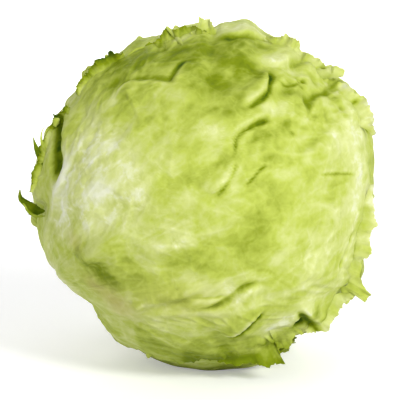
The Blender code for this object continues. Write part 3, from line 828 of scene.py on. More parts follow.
def makeLeafTree():
    # ribs and veins along their lines, blisters between them and wrinkles along the leaf's fan
    tree = bpy.data.node_groups.new("leafRelief", "GeometryNodeTree")
    bench = Bench(tree)
    bench.socket("Geometry", "Geometry")
    for name in ("Rib Lines", "Vein Lines"):
        bench.socket(name, "Object")
    for name in ("Blister Size", "Blister Height", "Wrinkle Height", "Seed"):
        bench.socket(name, "Float")
    bench.socket("Material", "Material")
    bench.socket("Geometry", "Geometry", output=True)

    free, seed = bench.stored("free"), bench.given("Seed")
    place = bench.add("GeometryNodeInputPosition").outputs[0]
    ribs, ribMask = ridgeNodes(bench, bench.given("Rib Lines"))
    veins, veinMask = ridgeNodes(bench, bench.given("Vein Lines"))
    clearOfRibs = bench.less(1.0, ribMask)

    swell = bench.noise(place, bench.math("DIVIDE", 1.0, bench.given("Blister Size")), 2.0, 0.45, 0.5, seed)
    blister = bench.times(bench.spread(swell, 0.28, 0.72, -0.5, 0.5), bench.given("Blister Height"))
    wrinkled = bench.noise(bench.stored("fan", "FLOAT_VECTOR"), 1.0, 2.5, 0.5, 0.35, seed)
    wrinkle = bench.times(bench.spread(wrinkled, 0.3, 0.7, -0.5, 0.5), bench.given("Wrinkle Height"))
    between = bench.plus(bench.times(blister, clearOfRibs), wrinkle)
    between = bench.times(bench.plus(between, bench.times(veins, clearOfRibs)), free)
    ribShare = bench.plus(coveredRibs, bench.times(free, 1 - coveredRibs))
    total = bench.plus(between, bench.times(ribs, ribShare))
    offset = bench.vector("SCALE", bench.add("GeometryNodeInputNormal").outputs[0], scale=total)
    moved = bench.add("GeometryNodeSetPosition", {"Geometry": bench.given("Geometry"), "Offset": offset})
    geometry = moved.outputs["Geometry"]
    for label, value in (("rib", ribMask), ("vein", veinMask)):
        inputs = {"Geometry": geometry, "Name": label, "Value": value}
        stored = bench.add("GeometryNodeStoreNamedAttribute", inputs, data_type="FLOAT", domain="POINT")
        geometry = stored.outputs["Geometry"]
    whole = bench.add("GeometryNodeRealizeInstances", {"Geometry": geometry}).outputs["Geometry"]
    painted = bench.add("GeometryNodeSetMaterial", {"Geometry": whole, "Material": bench.given("Material")})
    bench.finish({"Geometry": painted.outputs["Geometry"]})
    return tree


def setInputs(modifier, values):
    # a modifier's inputs by name, through their sockets' identifiers
    sockets = {item.name: item.identifier for item in modifier.node_group.interface.items_tree
               if item.item_type == "SOCKET" and item.in_out == "INPUT"}
    for name, value in values.items():
        modifier[sockets[name]] = value


def bakeMesh(obj):
    # the evaluated object as a plain mesh, with its modifiers gone
    bpy.context.view_layer.update()
    mesh = bpy.data.meshes.new_from_object(obj.evaluated_get(bpy.context.evaluated_depsgraph_get()))
    obj.modifiers.clear()
    obj.data = mesh
    mesh.name = obj.name


def triangleCount(mesh):
    return sum(len(face.vertices) - 2 for face in mesh.polygons)


def keepInBox(obj):
    # pulls any point outside the CAD model's box back towards the head's centre
    centre = np.array([0, 0, head["restHeight"]])
    low, high = (np.array(corner) for corner in cadBox)
    points = np.empty(len(obj.data.vertices) * 3, np.float32)
    obj.data.vertices.foreach_get("co", points)
    offset = points.reshape(-1, 3).astype(float) - centre
    room = np.where(offset > 0, high - centre - leafSheet["boxGap"], centre - low)
    share = np.min(room / np.maximum(np.abs(offset), tiny), axis=1)
    kept = offset * np.minimum(share, 1)[:, None] + centre
    obj.data.vertices.foreach_set("co", kept.astype(np.float32).ravel())
    obj.data.update()
    return int((share < 1).sum())


leafSheet = {
    "centreSpacing": 0.1,  # how much wider the grid is in the middle than at the margin
    "toothShare": 9,  # a higher power keeps the teeth closer to the margin
    "thickness": 0.95 * mm,
    "marginThickness": 0.42,  # of that
    "marginWidth": 9 * mm,
    "rim": 8,  # cells in from the margin where the inner face is as fine as the outer one
    "coarse": 3,  # of the outer face's cells to one of the inner face's, past the rim
    "slack": 1.6 * mm,  # how far the coarse face may sink to stay under the fine one's hollows
    "streakTurn": 9.0,  # streaks across the fan's radian
    "streakLength": 34 * mm,
    # how much the highlight painted on a fold's lip adds to the tone
    "paintedHighlightTone": 0.9,
    "leavesHead": 0.955,  # share of the outline's radius past which a flap stands off the head
    "flapSteps": 6,
    "flapAcross": 8,
    "flapThickness": 0.5 * mm,
    "flapRagged": 0.08,
    "flapMargin": 0.6,  # how much of the margin's tone a flap has, and a frill at its edge
    "frillMargin": 0.25,
    "frillJitter": 0.28,
    "frillSmooth": 12,
    "frillTaper": 2.2,  # places over which a strip narrows at its ends
    "frillRoot": 0.4,  # millimetres that a strip reaches back at its ends
    "frillSink": 1.2,  # millimetres that its inner edge lies under the head's surface
    "frillWave": 0.5,
    "frillWaveTurn": 2.4,
    "frillSway": 1.8 * mm,
    "frillSwayWaves": ((0.48, 1.0, 1), (1.1, 0.6, 2)),  # turn to the millimetre, height, share of the seed
    "marginTone": 7 * mm,
    "stemTone": 30 * mm,
    "sharpEdge": 62 * degree,
    "boxGap": 0.05 * mm,  # left inside the CAD model's box
}
leafFinish = {
    "outer": {"blisterSize": 11 * mm, "blisterHeight": 1.0 * mm, "wrinkleHeight": 0.7 * mm},
    "inner": {"blisterSize": 9 * mm, "blisterHeight": 0.8 * mm, "wrinkleHeight": 0.6 * mm},
}


def gridFaces(at):
    return np.stack([at[:-1, :-1], at[:-1, 1:], at[1:, 1:], at[1:, :-1]], axis=-1)


def leafGrid(leaf):
    # a square grid spread over the leaf: flat points and bearings
    side = np.linspace(-1, 1, leaf.grid)
    a, b = (grid.ravel() for grid in np.meshgrid(side, side))
    wide = np.abs(a) >= np.abs(b)
    ring = np.where(wide, a, b)
    ratio = np.where(wide, b, a) / np.where(np.abs(ring) < tiny, tiny, ring)
    turn = np.where(wide, ratio * math.pi / 4, math.pi / 2 - ratio * math.pi / 4)
    bearing = np.arctan2(ring * np.sin(turn), ring * np.cos(turn))
    share = np.abs(ring)
    reach = leaf.reach(bearing)
    longer, _ = leaf.edgeShape(bearing)
    even = leafShape["evenTeeth"]
    teeth = waveSum(bearing, leafShape["fineToothWaves"], leaf.seed + 700)
    teeth = teeth * (even + (1 - even) * leaf.gate(bearing, 750))
    fromBase = (bearing + 1.5 * math.pi) % (2 * math.pi) - math.pi
    clear = 1 - bell(fromBase, leafShape["baseSpread"])
    inset = np.minimum(longer, 0) * share  # where the margin draws back, the whole grid goes with it
    fine = np.maximum(longer, 0) + leafShape["fineToothReach"] * (teeth - leafShape["toothMiddle"])
    more = inset + fine * clear * share ** leafSheet["toothShare"]
    wider = leafSheet["centreSpacing"]
    distance = share * (1 + wider - wider * share) * reach + more
    return distance[:, None] * np.column_stack([np.cos(bearing), np.sin(bearing)]), bearing


def innerFaces(n):
    # faces of a sheet's inner side, by its points' numbers in the grid: fine in the rim, coarse past it
    at = np.arange(n * n).reshape(n, n)
    rim, step = leafSheet["rim"], leafSheet["coarse"]
    cells = gridFaces(at)[..., ::-1]
    i, j = np.indices(cells.shape[:2])
    inRim = np.minimum(np.minimum(i, j), np.minimum(n - 2 - i, n - 2 - j)) < rim
    faces = cells[inRim].tolist()
    last = n - 1 - rim
    for row in range(rim, last, step):
        for column in range(rim, last, step):
            down = at[row:row + step, column]
            along = at[row + step, column:column + step]
            up = at[row + step:row:-1, column + step]
            back = at[row, column + step:column:-1]
            sides = (
                (down, column == rim), (along, row + step == last),
                (up, column + step == last), (back, row == rim),
            )
            faces.append([int(k) for side, onRim in sides for k in (side if onRim else side[:1])])
    return faces


def sheetFaces(n):
    # the outer face, the inner one, whose points are numbered after the outer one's, and the edge between
    at = np.arange(n * n).reshape(n, n)
    faces = gridFaces(at).reshape(-1, 4).tolist()
    faces += [[k + n * n for k in face] for face in innerFaces(n)]
    loop = np.concatenate([at[0, :-1], at[:-1, -1], at[-1, :0:-1], at[:0:-1, 0]]).tolist()
    for a, b in zip(loop, loop[1:] + loop[:1]):
        faces.append([b, a, a + n * n, b + n * n])
    return faces


def lowestNear(values, reach):
    # each grid value's lowest neighbour within this many cells
    n = len(values)
    for axis in (0, 1):
        padded = np.pad(values, [(reach, reach) if k == axis else (0, 0) for k in (0, 1)], mode="edge")
        values = np.min([np.take(padded, range(k, k + n), axis) for k in range(2 * reach + 1)], axis=0)
    return values


def innerPoints(points, normals, level, n):
    # the inner side's points: a thickness under the outer one's, and past the rim under all hollows near
    centre = np.array([0, 0, head["restHeight"]])
    thickness = leafSheet["thickness"] * (leafSheet["marginThickness"] * (1 - level) + level)
    below = points - normals * thickness[:, None]
    radius = np.linalg.norm(points - centre, axis=1)
    lowest = lowestNear(radius.reshape(n, n), leafSheet["coarse"]).ravel()
    lowest = np.maximum(lowest, radius - leafSheet["slack"]) - thickness
    i, j = np.indices((n, n))
    cellsIn = np.minimum(np.minimum(i, j), np.minimum(n - 1 - i, n - 1 - j)).ravel()
    sunk = centre + (points - centre) * (lowest / radius)[:, None]
    return np.where((cellsIn > leafSheet["rim"])[:, None], sunk, below)


def onOutline(places, lift):
    # directions to these places and points there, on the head or, near its outline, straight out beside it
    away = np.hypot(*places.T)
    turn = np.arctan2(places[:, 1], places[:, 0])
    outline = (sideViewRadius(turn) + trimmed(turn)) / mm
    held = np.minimum(1, leafSheet["leavesHead"] * outline / away)[:, None]
    directions = seenAt(places * held * (head["radius"] / mm / outline)[:, None])
    out = places * (1 - held) @ viewSides * mm
    return directions, directions * (headRadius(directions, 0)[0] + lift)[:, None] + out


def bothWays(values):
    # rows of values along a strip's face, and then back again along its other side
    return np.concatenate([values, values[:, ::-1]], axis=1)


def closeStrip(face, back):
    # points and faces of a closed strip between these two sides, with a cap at either end
    loops = np.concatenate([face, back[:, ::-1]], axis=1)
    stations, count = loops.shape[:2]
    at = np.arange(stations * count).reshape(stations, count)
    faces = gridFaces(np.column_stack([at, at[:, :1]])).reshape(-1, 4).tolist()
    return loops.reshape(-1, 3), faces + [at[0, ::-1].tolist(), at[-1].tolist()]


def flapShape(rows, bow, seed):
    # a closed strip along the flap's middle line, facing the viewer: points, faces and directions
    rng = np.random.default_rng(seed)
    rows = curveThrough(rows, leafSheet["flapSteps"])
    places, lift, wide = rows[:, :2], rows[:, 2] * mm, np.maximum(rows[:, 3], 0.1) * mm
    directions, spine = onOutline(places, lift)
    way = unitRows(np.gradient(spine, axis=0))
    side = unitRows(np.cross(way, -viewForward))
    front = unitRows(np.cross(side, way))[:, None]
    across = np.linspace(-1, 1, leafSheet["flapAcross"])
    ragged = 1 + leafSheet["flapRagged"] * rng.normal(size=(len(spine), 1)) * np.abs(across)
    shift = (wide[:, None] * across * ragged)[..., None] * side[:, None]
    share = wide / wide.max()
    face = spine[:, None] + shift + (bow * mm * share[:, None] * (1 - across**2))[..., None] * front
    back = face - (leafSheet["flapThickness"] * np.minimum(share + 0.3, 1))[:, None, None] * front
    return *closeStrip(face, back), np.repeat(directions, 2 * len(across), axis=0)


def frillShape(rows, look, seed):
    # a closed ragged strip whose outer edge passes these places: points, faces, directions, share outwards
    # and the shade painted in the hollows that it passes
    rng = np.random.default_rng(seed)
    rows = np.array(rows, float)[:, :2]
    steps = leafSheet["flapSteps"]
    at = np.arange((len(rows) - 1) * steps + 1) / steps
    outer = np.column_stack([np.interp(at, np.arange(len(rows)), rows[:, k]) for k in (0, 1)])
    travelled = np.concatenate([[0], np.cumsum(np.linalg.norm(np.diff(outer, axis=0), axis=1))])
    outer += rng.normal(size=outer.shape) * leafSheet["frillJitter"]
    ends = smoothStep(np.minimum(at, at[-1] - at) / leafSheet["frillTaper"])
    back = leafSheet["frillRoot"] + look["reach"] * ends
    inner = outer * (1 - back / np.linalg.norm(outer, axis=1))[:, None]
    for _ in range(leafSheet["frillSmooth"]):
        inner[1:-1] = (inner[:-2] + 2 * inner[1:-1] + inner[2:]) / 4
    share = np.linspace(0, 1, leafSheet["flapAcross"])
    places = inner[:, None] + (outer - inner)[:, None] * share[:, None]
    wave = np.sin(at * leafSheet["frillWaveTurn"] + seed)[:, None] * share**2 * leafSheet["frillWave"]
    lift = (share * look["lift"] - (1 - share) ** 3 * leafSheet["frillSink"] + wave) * mm
    directions, face = onOutline(places.reshape(-1, 2), lift.ravel())
    face = face.reshape(len(outer), -1, 3)
    sway = sum(
        much * np.sin(travelled * turn + phase * seed) for turn, much, phase in leafSheet["frillSwayWaves"])
    sway = sway[:, None] * share**1.5 * leafSheet["frillSway"] * look["sway"]  # as the viewer looks
    face = face + sway[..., None] * viewForward
    inwards = unitRows(directions - viewForward).reshape(face.shape)
    dark = np.zeros(places.shape[:2])
    for x, z, width, _, shade in frontDents.values():
        dark = np.maximum(dark, shade * bell(np.linalg.norm(places - (x, z), axis=2), width))
    return (
        *closeStrip(face, face - leafSheet["flapThickness"] * inwards),
        bothWays(directions.reshape(face.shape)).reshape(-1, 3),
        bothWays(np.broadcast_to(share, dark.shape)).ravel(),
        bothWays(dark).ravel(),
    )


def storeValues(mesh, values):
    for label, value in values.items():
        kind, key = ("FLOAT_VECTOR", "vector") if value.ndim == 2 else ("FLOAT", "value")
        mesh.attributes.new(label, kind, "POINT").data.foreach_set(key, value.astype(np.float32).ravel())


def readValues(mesh, labels):
    found = {}
    for label in labels:
        data = mesh.attributes[label].data
        vector = mesh.attributes[label].data_type == "FLOAT_VECTOR"
        values = np.empty(len(data) * (3 if vector else 1), np.float32)
        data.foreach_get("vector" if vector else "value", values)
        found[label] = values.reshape(-1, 3) if vector else values
    return found


def fanOf(leaf, flat):
    # streaks run along the leaf's ribs in these coordinates
    out = leaf.fromBase(flat)
    return np.column_stack([
        np.arctan2(out[:, 0], out[:, 1]) * leafSheet["streakTurn"],
        np.linalg.norm(out, axis=1) / leafSheet["streakLength"],
        np.full(len(flat), leaf.seed * 7.0),
    ])


def stripsOf(leaf):
    # this leaf's flaps and frills: points, faces, directions and what the material needs to know of each
    for k, (name, rows, look) in enumerate(flaps.values()):
        if name == leaf.name:
            look = dict(zip(flapKeys, look))
            points, faces, directions = flapShape(rows, look["bow"], leaf.seed * 100 + k)
            even = np.ones(len(points))
            # a flap's darkness is painted shade
            yield points, faces, directions, {
                "crease": look["dark"] * even, "tone": look["tone"] * even,
                "margin": leafSheet["flapMargin"] * even}
    for k, (name, rows, look) in enumerate(frills.values()):
        if name == leaf.name:
            look = dict(zip(frillKeys, look))
            points, faces, directions, share, paintedHollowShade = frillShape(rows, look, leaf.seed * 200 + k)
            _, dark, light = headForm(directions)
            # a frill's painted shade, darkest at its outer edge and in the hollows it passes, and the
            # highlight painted on the folds' lips
            yield points, faces, directions, {
                "crease": np.maximum(look["dark"] * share**2, np.maximum(dark, paintedHollowShade)),
                "tone": look["tone"] * share + leafSheet["paintedHighlightTone"] * light,
                "margin": leafSheet["frillMargin"] * share}


def closeSheet(leaf, mesh, level):
    # the relief's outer face made into a closed sheet, with the leaf's flaps beside it
    n = leaf.grid
    points, normals = np.empty((2, n * n * 3), np.float32)
    mesh.vertices.foreach_get("co", points)
    mesh.vertices.foreach_get("normal", normals)
    points, normals = points.reshape(-1, 3).astype(float), normals.reshape(-1, 3).astype(float)
    values = readValues(mesh, leafValues)
    faces = sheetFaces(n)
    used = np.unique(np.concatenate([np.array(face) for face in faces]))
    place = np.zeros(2 * n * n, int)
    place[used] = np.arange(len(used))
    faces = [place[face].tolist() for face in faces]
    points = np.vstack([points, innerPoints(points, normals, level, n)])[used]
    values = {label: np.concatenate([value, value])[used] for label, value in values.items()}
    for strip, stripFaces, directions, look in stripsOf(leaf):
        faces += [[i + len(points) for i in face] for face in stripFaces]
        points = np.vstack([points, strip + [0, 0, head["restHeight"]]])
        look = {label: np.zeros(len(strip)) for label in leafValues} | look
        look["tone"] = look["tone"] + toneAt(directions)
        look["fan"] = fanOf(leaf, leaf.flat(directions))
        values = {label: np.concatenate([value, look[label]]) for label, value in values.items()}
    closed = bpy.data.meshes.new(leaf.name)
    closed.from_pydata(points.tolist(), [], faces)
    closed.materials.append(mesh.materials[0])
    storeValues(closed, values)
    return closed


leafValues = ("free", "crease", "fan", "tone", "rust", "margin", "stemNear", "rib", "vein")


def makeLeaf(leaf, over, finish, material):
    flat, bearing = leafGrid(leaf)
    points, facts = leafSurface(leaf, over, flat, bearing)
    distance = np.linalg.norm(leaf.fromBase(flat), axis=1)
    inwards = np.clip(leaf.edgeDistance(flat), 0, None)
    mesh = bpy.data.meshes.new(leaf.name)
    at = np.arange(leaf.grid**2).reshape(leaf.grid, leaf.grid)
    mesh.from_pydata(points.tolist(), [], gridFaces(at).reshape(-1, 4).tolist())
    storeValues(mesh, {
        "free": facts["free"], "crease": facts["crease"], "fan": fanOf(leaf, flat),
        # the tone patches, with the highlight painted on the folds' lips added
        "tone": toneAt(facts["directions"]) + leafSheet["paintedHighlightTone"] * facts["lip"],
        "rust": patches(facts["directions"], rustSpots.values()),
        "margin": np.exp(-inwards / leafSheet["marginTone"]),
        "stemNear": bell(distance, leafSheet["stemTone"]),
    })
    mesh.shade_smooth()
    obj = placeObject("lettuce_" + leaf.name, mesh)

    ribs = list(ribPaths(leaf))
    guides = [lineObject(leaf.name + "_ribs", leaf, over, ribs),
              lineObject(leaf.name + "_veins", leaf, over, list(veinPaths(leaf, ribs)))]
    relief = obj.modifiers.new("relief", "NODES")
    relief.node_group = leafTree
    sizes = leafFinish[finish]
    setInputs(relief, {
        "Rib Lines": guides[0], "Vein Lines": guides[1], "Blister Size": sizes["blisterSize"],
        "Blister Height": sizes["blisterHeight"], "Wrinkle Height": sizes["wrinkleHeight"],
        "Seed": leaf.seed * 3.7, "Material": material,
    })
    bakeMesh(obj)
    obj.data = closeSheet(leaf, obj.data, smoothStep(inwards / leafSheet["marginWidth"]))
    obj.data.shade_smooth()
    obj.data.set_sharp_from_angle(angle=leafSheet["sharpEdge"])
    for guide in guides:
        bpy.data.objects.remove(guide)
    pulled = keepInBox(obj)
    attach(obj, "root")
    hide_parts(leaf.name)
    print(f"{obj.name}: {triangleCount(obj.data)} triangles, {pulled} points kept inside the box")


# Materials
# the deep colour is reached only where shade is painted
leafColours = {
    "outer": {"deep": (0.034, 0.075, 0.001), "green": (0.175, 0.23, 0.003), "main": (0.41, 0.475, 0.08),
              "light": (0.57, 0.61, 0.25), "pale": (0.72, 0.74, 0.55)},
    "inner": {"deep": (0.08, 0.12, 0.01), "green": (0.27, 0.32, 0.03), "main": (0.48, 0.53, 0.12),
              "light": (0.60, 0.64, 0.25), "pale": (0.70, 0.72, 0.42)},
    "heart": {"deep": (0.16, 0.20, 0.03), "green": (0.42, 0.46, 0.10), "main": (0.60, 0.63, 0.24),
              "light": (0.70, 0.71, 0.36), "pale": (0.78, 0.78, 0.50)},
}
rampStops = (0.02, 0.27, 0.52, 0.76, 1.0)  # where on the shade those five stand

# Where a leaf's shade value on its colour ramp starts, how far down it goes and how much each of these adds
# to it; the shade painted into creases, hollows and gaps between leaves goes on past the lowest
shadeParts = {
    "base": 0.52, "lowest": 0.2, "speckle": 0.14, "net": 0.25, "white": 0.17, "crease": -0.62,
    "attributes": {"rib": 0.1, "vein": 0.07, "margin": -0.16, "stemNear": 0.3, "tone": 0.27},
}


def newMaterial(name):
    # a material, the bench of its tree and its shader
    material = bpy.data.materials.new(name)
    material.use_nodes = True
    return material, Bench(material.node_tree, ends=False), material.node_tree.nodes["Principled BSDF"]


def makeLeafPattern():
    # where a leaf is lighter or greener, and the fine relief of its skin
    tree = bpy.data.node_groups.new("leafPattern", "ShaderNodeTree")
    bench = Bench(tree)
    for name, value in (("Patch Size", 16 * mm), ("Patch Contrast", 0.36), ("Streak Contrast", 0.2),
                        ("Net Size", 6 * mm), ("Net Strength", 0.12), ("Seed", 0.0)):
        bench.socket(name, "Float", value=value)
    for name in ("Shade", "Height", "Roughness"):
        bench.socket(name, "Float", output=True)
    place = bench.add("ShaderNodeTexCoord").outputs["Object"]
    seed, tone, crease = bench.given("Seed"), bench.attribute("tone"), bench.attribute("crease")

    patch = bench.noise(place, bench.math("DIVIDE", 1.0, bench.given("Patch Size")), 3.0, 0.55, 0.8, seed)
    small = bench.noise(place, 420.0, 3.0, 0.6, 0.3, seed)
    fan = bench.vector("MULTIPLY", bench.attribute("fan", "Vector"), (1.9, 1.5, 1.0))
    streak = bench.noise(fan, 1.0, 2.5, 0.5, 1.1, seed)
    blotch = bench.spread(bench.noise(place, 120.0, 4.0, 0.6, 0.6, seed), 0.46, 0.66)
    bent = bench.vector("SCALE", bench.noise(place, 160.0, output="Color"), scale=5 * mm)
    bent = bench.vector("ADD", place, bent)
    perCell = bench.math("DIVIDE", 1.0, bench.given("Net Size"))
    cells = bench.add("ShaderNodeTexVoronoi", {"Vector": bent, "Scale": perCell}, feature="DISTANCE_TO_EDGE")
    net = bench.less(1.0, bench.spread(cells.outputs["Distance"], 0.0, 0.16))

    shade = shadeParts["base"]
    for value, contrast in ((patch, "Patch Contrast"), (streak, "Streak Contrast")):
        centred = bench.less(bench.spread(value, 0.25, 0.75, smooth=False), 0.5)
        shade = bench.plus(shade, bench.times(centred, bench.given(contrast)))
    shade = bench.plus(shade, bench.times(bench.less(small, 0.5), shadeParts["speckle"]))
    shade = bench.plus(shade, bench.times(net, bench.times(bench.given("Net Strength"), shadeParts["net"])))
    for label, amount in shadeParts["attributes"].items():
        shade = bench.plus(shade, bench.times(bench.attribute(label), amount))
    whiter = bench.times(bench.spread(tone, 0.1, 0.9), shadeParts["white"])
    shade = bench.plus(shade, bench.times(whiter, bench.less(blotch, 0.36)))
    shade = bench.math("MAXIMUM", shade, shadeParts["lowest"])
    # painted shade: creases, hollows and the gaps between leaves are darkened towards the deep colour, over
    # some of the leaf's own deeper green there
    shade = bench.plus(shade, bench.times(crease, shadeParts["crease"]))
    heights = bench.plus(bench.times(net, 0.15), bench.times(small, 0.5))
    heights = bench.plus(heights, bench.times(streak, 0.9))
    specks = bench.spread(bench.noise(place, 700.0, seed=seed), 0.62, 0.70, 0.0, -0.25)
    rough = bench.plus(bench.plus(0.46, bench.times(small, 0.3)), specks)
    rough = bench.plus(rough, bench.times(crease, 0.35), clamp=True)
    bench.finish({"Shade": shade, "Height": heights, "Roughness": rough})
    return tree


def makeLeafMaterial(name, colours, values):
    material, bench, shader = newMaterial(name)
    pattern = bench.add("ShaderNodeGroup", values, node_tree=leafPattern)
    colour = bench.ramp(pattern.outputs["Shade"], list(zip(rampStops, colours.values())))
    height = pattern.outputs["Height"]
    bump = bench.add("ShaderNodeBump", {"Strength": 0.45, "Distance": 0.6 * mm, "Height": height})
    bench.wire(shader, {
        "Base Color": bench.blend(bench.attribute("rust"), colour, (0.50, 0.42, 0.17, 1)),
        "Roughness": pattern.outputs["Roughness"], "Normal": bump.outputs["Normal"],
        "Subsurface Weight": 0.22, "Subsurface Radius": (1.0, 1.0, 0.35), "Subsurface Scale": 2.5 * mm,
        "Specular IOR Level": 0.2, "Specular Tint": (0.75, 0.9, 0.35, 1),
    })
    return material


leafPattern = makeLeafPattern()
leafMaterials = {
    "outer": makeLeafMaterial("outerLeaf", leafColours["outer"], {"Seed": 1.0}),
    "inner": makeLeafMaterial("innerLeaf", leafColours["inner"], {"Seed": 5.0, "Patch Contrast": 0.4}),
    "heart": makeLeafMaterial("heartLeaf", leafColours["heart"], {"Seed": 9.0, "Patch Contrast": 0.3}),
}
leafTree = makeLeafTree()
outerLeaves = ("leaf_front", "leaf_under", "leaf_back")
finishes = {name: "outer" if name in outerLeaves else "inner" for name in leaves}
over = []
for leaf in leaves.values():
    makeLeaf(leaf, over, finishes[leaf.name], leafMaterials[finishes[leaf.name]])
    over.append(leaf)
print("leaves made")


def globeRings(name, sides, rings):
    # a globe to be reshaped ring by ring: its mesh, and each point's ring from the top and turn round it
    globe = bmesh.new()
    bmesh.ops.create_uvsphere(globe, u_segments=sides, v_segments=rings, radius=1)
    globe.verts.index_update()
    count = len(globe.verts)
    # the operator's faces come in another order each run, so they are put in the order of their corners
    globe.faces.sort(key=lambda face: face.verts[0].index * count + face.verts[1].index)
    mesh = bpy.data.meshes.new(name)
    globe.to_mesh(mesh)
    globe.free()
    points = np.empty(len(mesh.vertices) * 3, np.float32)
    mesh.vertices.foreach_get("co", points)
    x, y, z = points.reshape(-1, 3).astype(float).T
    return mesh, np.round(np.arccos(np.clip(z, -1, 1)) * rings / math.pi).astype(int), np.arctan2(y, x)


def roundStem(turn):
    # the unit vectors that point out from the stem's axis at these turns, and the axis
    turned = np.array(Vector((0, 0, 1)).rotation_difference(head["stemPoints"]).to_matrix())
    return np.column_stack([np.cos(turn), np.sin(turn), np.zeros(len(turn))]) @ turned.T, turned[:, 2]


def finishPiece(mesh, points, node, material):
    # stands the mesh in for a CAD node, with its points counted from the head's centre
    placed = points + [0, 0, head["restHeight"]]
    mesh.vertices.foreach_set("co", placed.astype(np.float32).ravel())
    mesh.materials.append(material)
    mesh.shade_smooth()
    obj = placeObject("lettuce_" + node, mesh)
    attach(obj, "root")
    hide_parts(node)
    print(f"{obj.name}: {triangleCount(mesh)} triangles")


heartShape = {
    "sides": 176,
    "rings": 96,
    "pocket": 11.2 * degree,  # half angle of the mouth where the stem goes in
    "pocketFloor": 49 * mm,
    "floorShare": 0.98,  # the floor's half angle, as a share of the mouth's
    "gap": 0.8 * mm,  # to the leaves round it
    "folds": 6,  # leaves that show on it as steps
    "foldTurn": 137.5,
    "foldReach": (78, 84, 84, 98),  # middle's distance from the stem, reach right, left and at the tip
    "foldStep": 0.6 * mm,
    "foldFall": 2.5 * mm,
    "seed": 61,
}


def makeHeart():
    mesh, ring, turn = globeRings("heart", heartShape["sides"], heartShape["rings"])
    pocket = heartShape["pocket"]
    angle = pocket + (ring - 2) * (math.pi - pocket) / (heartShape["rings"] - 2)
    angle = np.select([ring == 0, ring == 1], [0 * angle, pocket * heartShape["floorShare"]], angle)
    outwards, axis = roundStem(turn)
    directions = outwards * np.sin(angle)[:, None] + axis * np.cos(angle)[:, None]
    depth = head["layerPitch"] * sum(leaf.cover(directions) for leaf in leaves.values()) + heartShape["gap"]
    edges = np.zeros(len(directions))
    for i in range(heartShape["folds"]):
        fold = Leaf("fold", i * heartShape["foldTurn"], *heartShape["foldReach"], heartShape["seed"] + i, 0)
        cover = fold.cover(directions, 0, heartShape["foldFall"])
        depth += heartShape["foldStep"] * (1 - cover)
        edges += 2 * cover * (1 - cover)
    radius, dark, _ = headRadius(directions, depth)
    radius = np.where(ring < 2, heartShape["pocketFloor"] / np.cos(angle), radius)
    fan = np.column_stack([
        np.cos(turn) * leafSheet["streakTurn"],
        np.sin(turn) * leafSheet["streakTurn"],
        angle * head["radius"] / leafSheet["streakLength"],
    ])
    # painted shade: the heart's hollows and the edges of its steps
    storeValues(mesh, {
        "crease": np.maximum(dark, edges), "fan": fan, "tone": toneAt(directions) / 2,
        "stemNear": bell(angle * head["radius"], leafSheet["stemTone"]),
    })
    finishPiece(mesh, directions * radius[:, None], "heart", leafMaterials["heart"])


stemShape = {
    "halfAngle": 10.2 * degree,
    "inner": 50 * mm,
    "outer": 74.5 * mm,
    "round": 1.5 * mm,  # of the cut face's rim
    "sides": 112,
    "rings": (34, 7, 16, 4),  # on the cut face, round its rim, down the side and over the inner end
    "dish": 0.8 * mm,  # how far the pith has shrunk at the middle
    "uneven": 0.06,
    "waves": (3, 5, 8, 13),
    "knifeMarks": 0.09 * mm,
    "markSpacing": 1.9 * mm,
    "seed": 71,
}


def makeStem():
    # the cut stem, a cone with its tip at the head's centre
    face, rim, side, inner = stemShape["rings"]
    slope, bend = math.tan(stemShape["halfAngle"]), stemShape["round"]
    edge = stemShape["outer"] * slope - bend
    quarter = np.linspace(0, math.pi / 2, rim + 1)[1:]
    out = np.concatenate([np.linspace(0, edge, face + 1), edge + bend * np.sin(quarter)])
    up = np.full(face + 1, stemShape["outer"])
    down = np.linspace(stemShape["outer"] - bend, stemShape["inner"], side + 1)[1:]
    bent = stemShape["outer"] - bend * (1 - np.cos(quarter))
    up = np.concatenate([up, bent, down, np.full(inner, stemShape["inner"])])
    out = np.concatenate([out, down * slope, np.linspace(stemShape["inner"] * slope, 0, inner + 1)[1:]])
    out = np.minimum(out, up * slope)
    mesh, ring, turn = globeRings("stem", stemShape["sides"], len(out) - 1)
    outwards, axis = roundStem(turn)
    wave = (1 - waveSum(turn, stemShape["waves"], stemShape["seed"])) / 2
    away = out[ring] * (1 - stemShape["uneven"] * wave)
    onFace = smoothStep((face - ring) / 3)
    marks = np.sin((away * np.cos(turn - 0.6)) / stemShape["markSpacing"] * 2 * math.pi + 0.8 * wave) - 1
    dish = -stemShape["dish"] * (1 - (away / edge) ** 2)
    along = up[ring] + onFace * (dish + stemShape["knifeMarks"] * marks)
    storeValues(mesh, {
        "fromAxis": away / (edge + bend),
        "cutFace": onFace * (up[ring] > stemShape["outer"] - bend),
    })
    finishPiece(mesh, outwards * away[:, None] + axis * along[:, None], "stem", stemMaterial)


stemColours = (  # from the pith at its middle out to its skin
    (0.0, (0.36, 0.21, 0.07)), (0.16, (0.62, 0.47, 0.23)), (0.36, (0.76, 0.68, 0.42)),
    (0.62, (0.74, 0.70, 0.42)), (0.74, (0.58, 0.52, 0.24)), (0.88, (0.70, 0.70, 0.40)),
    (1.0, (0.60, 0.62, 0.30)),
)


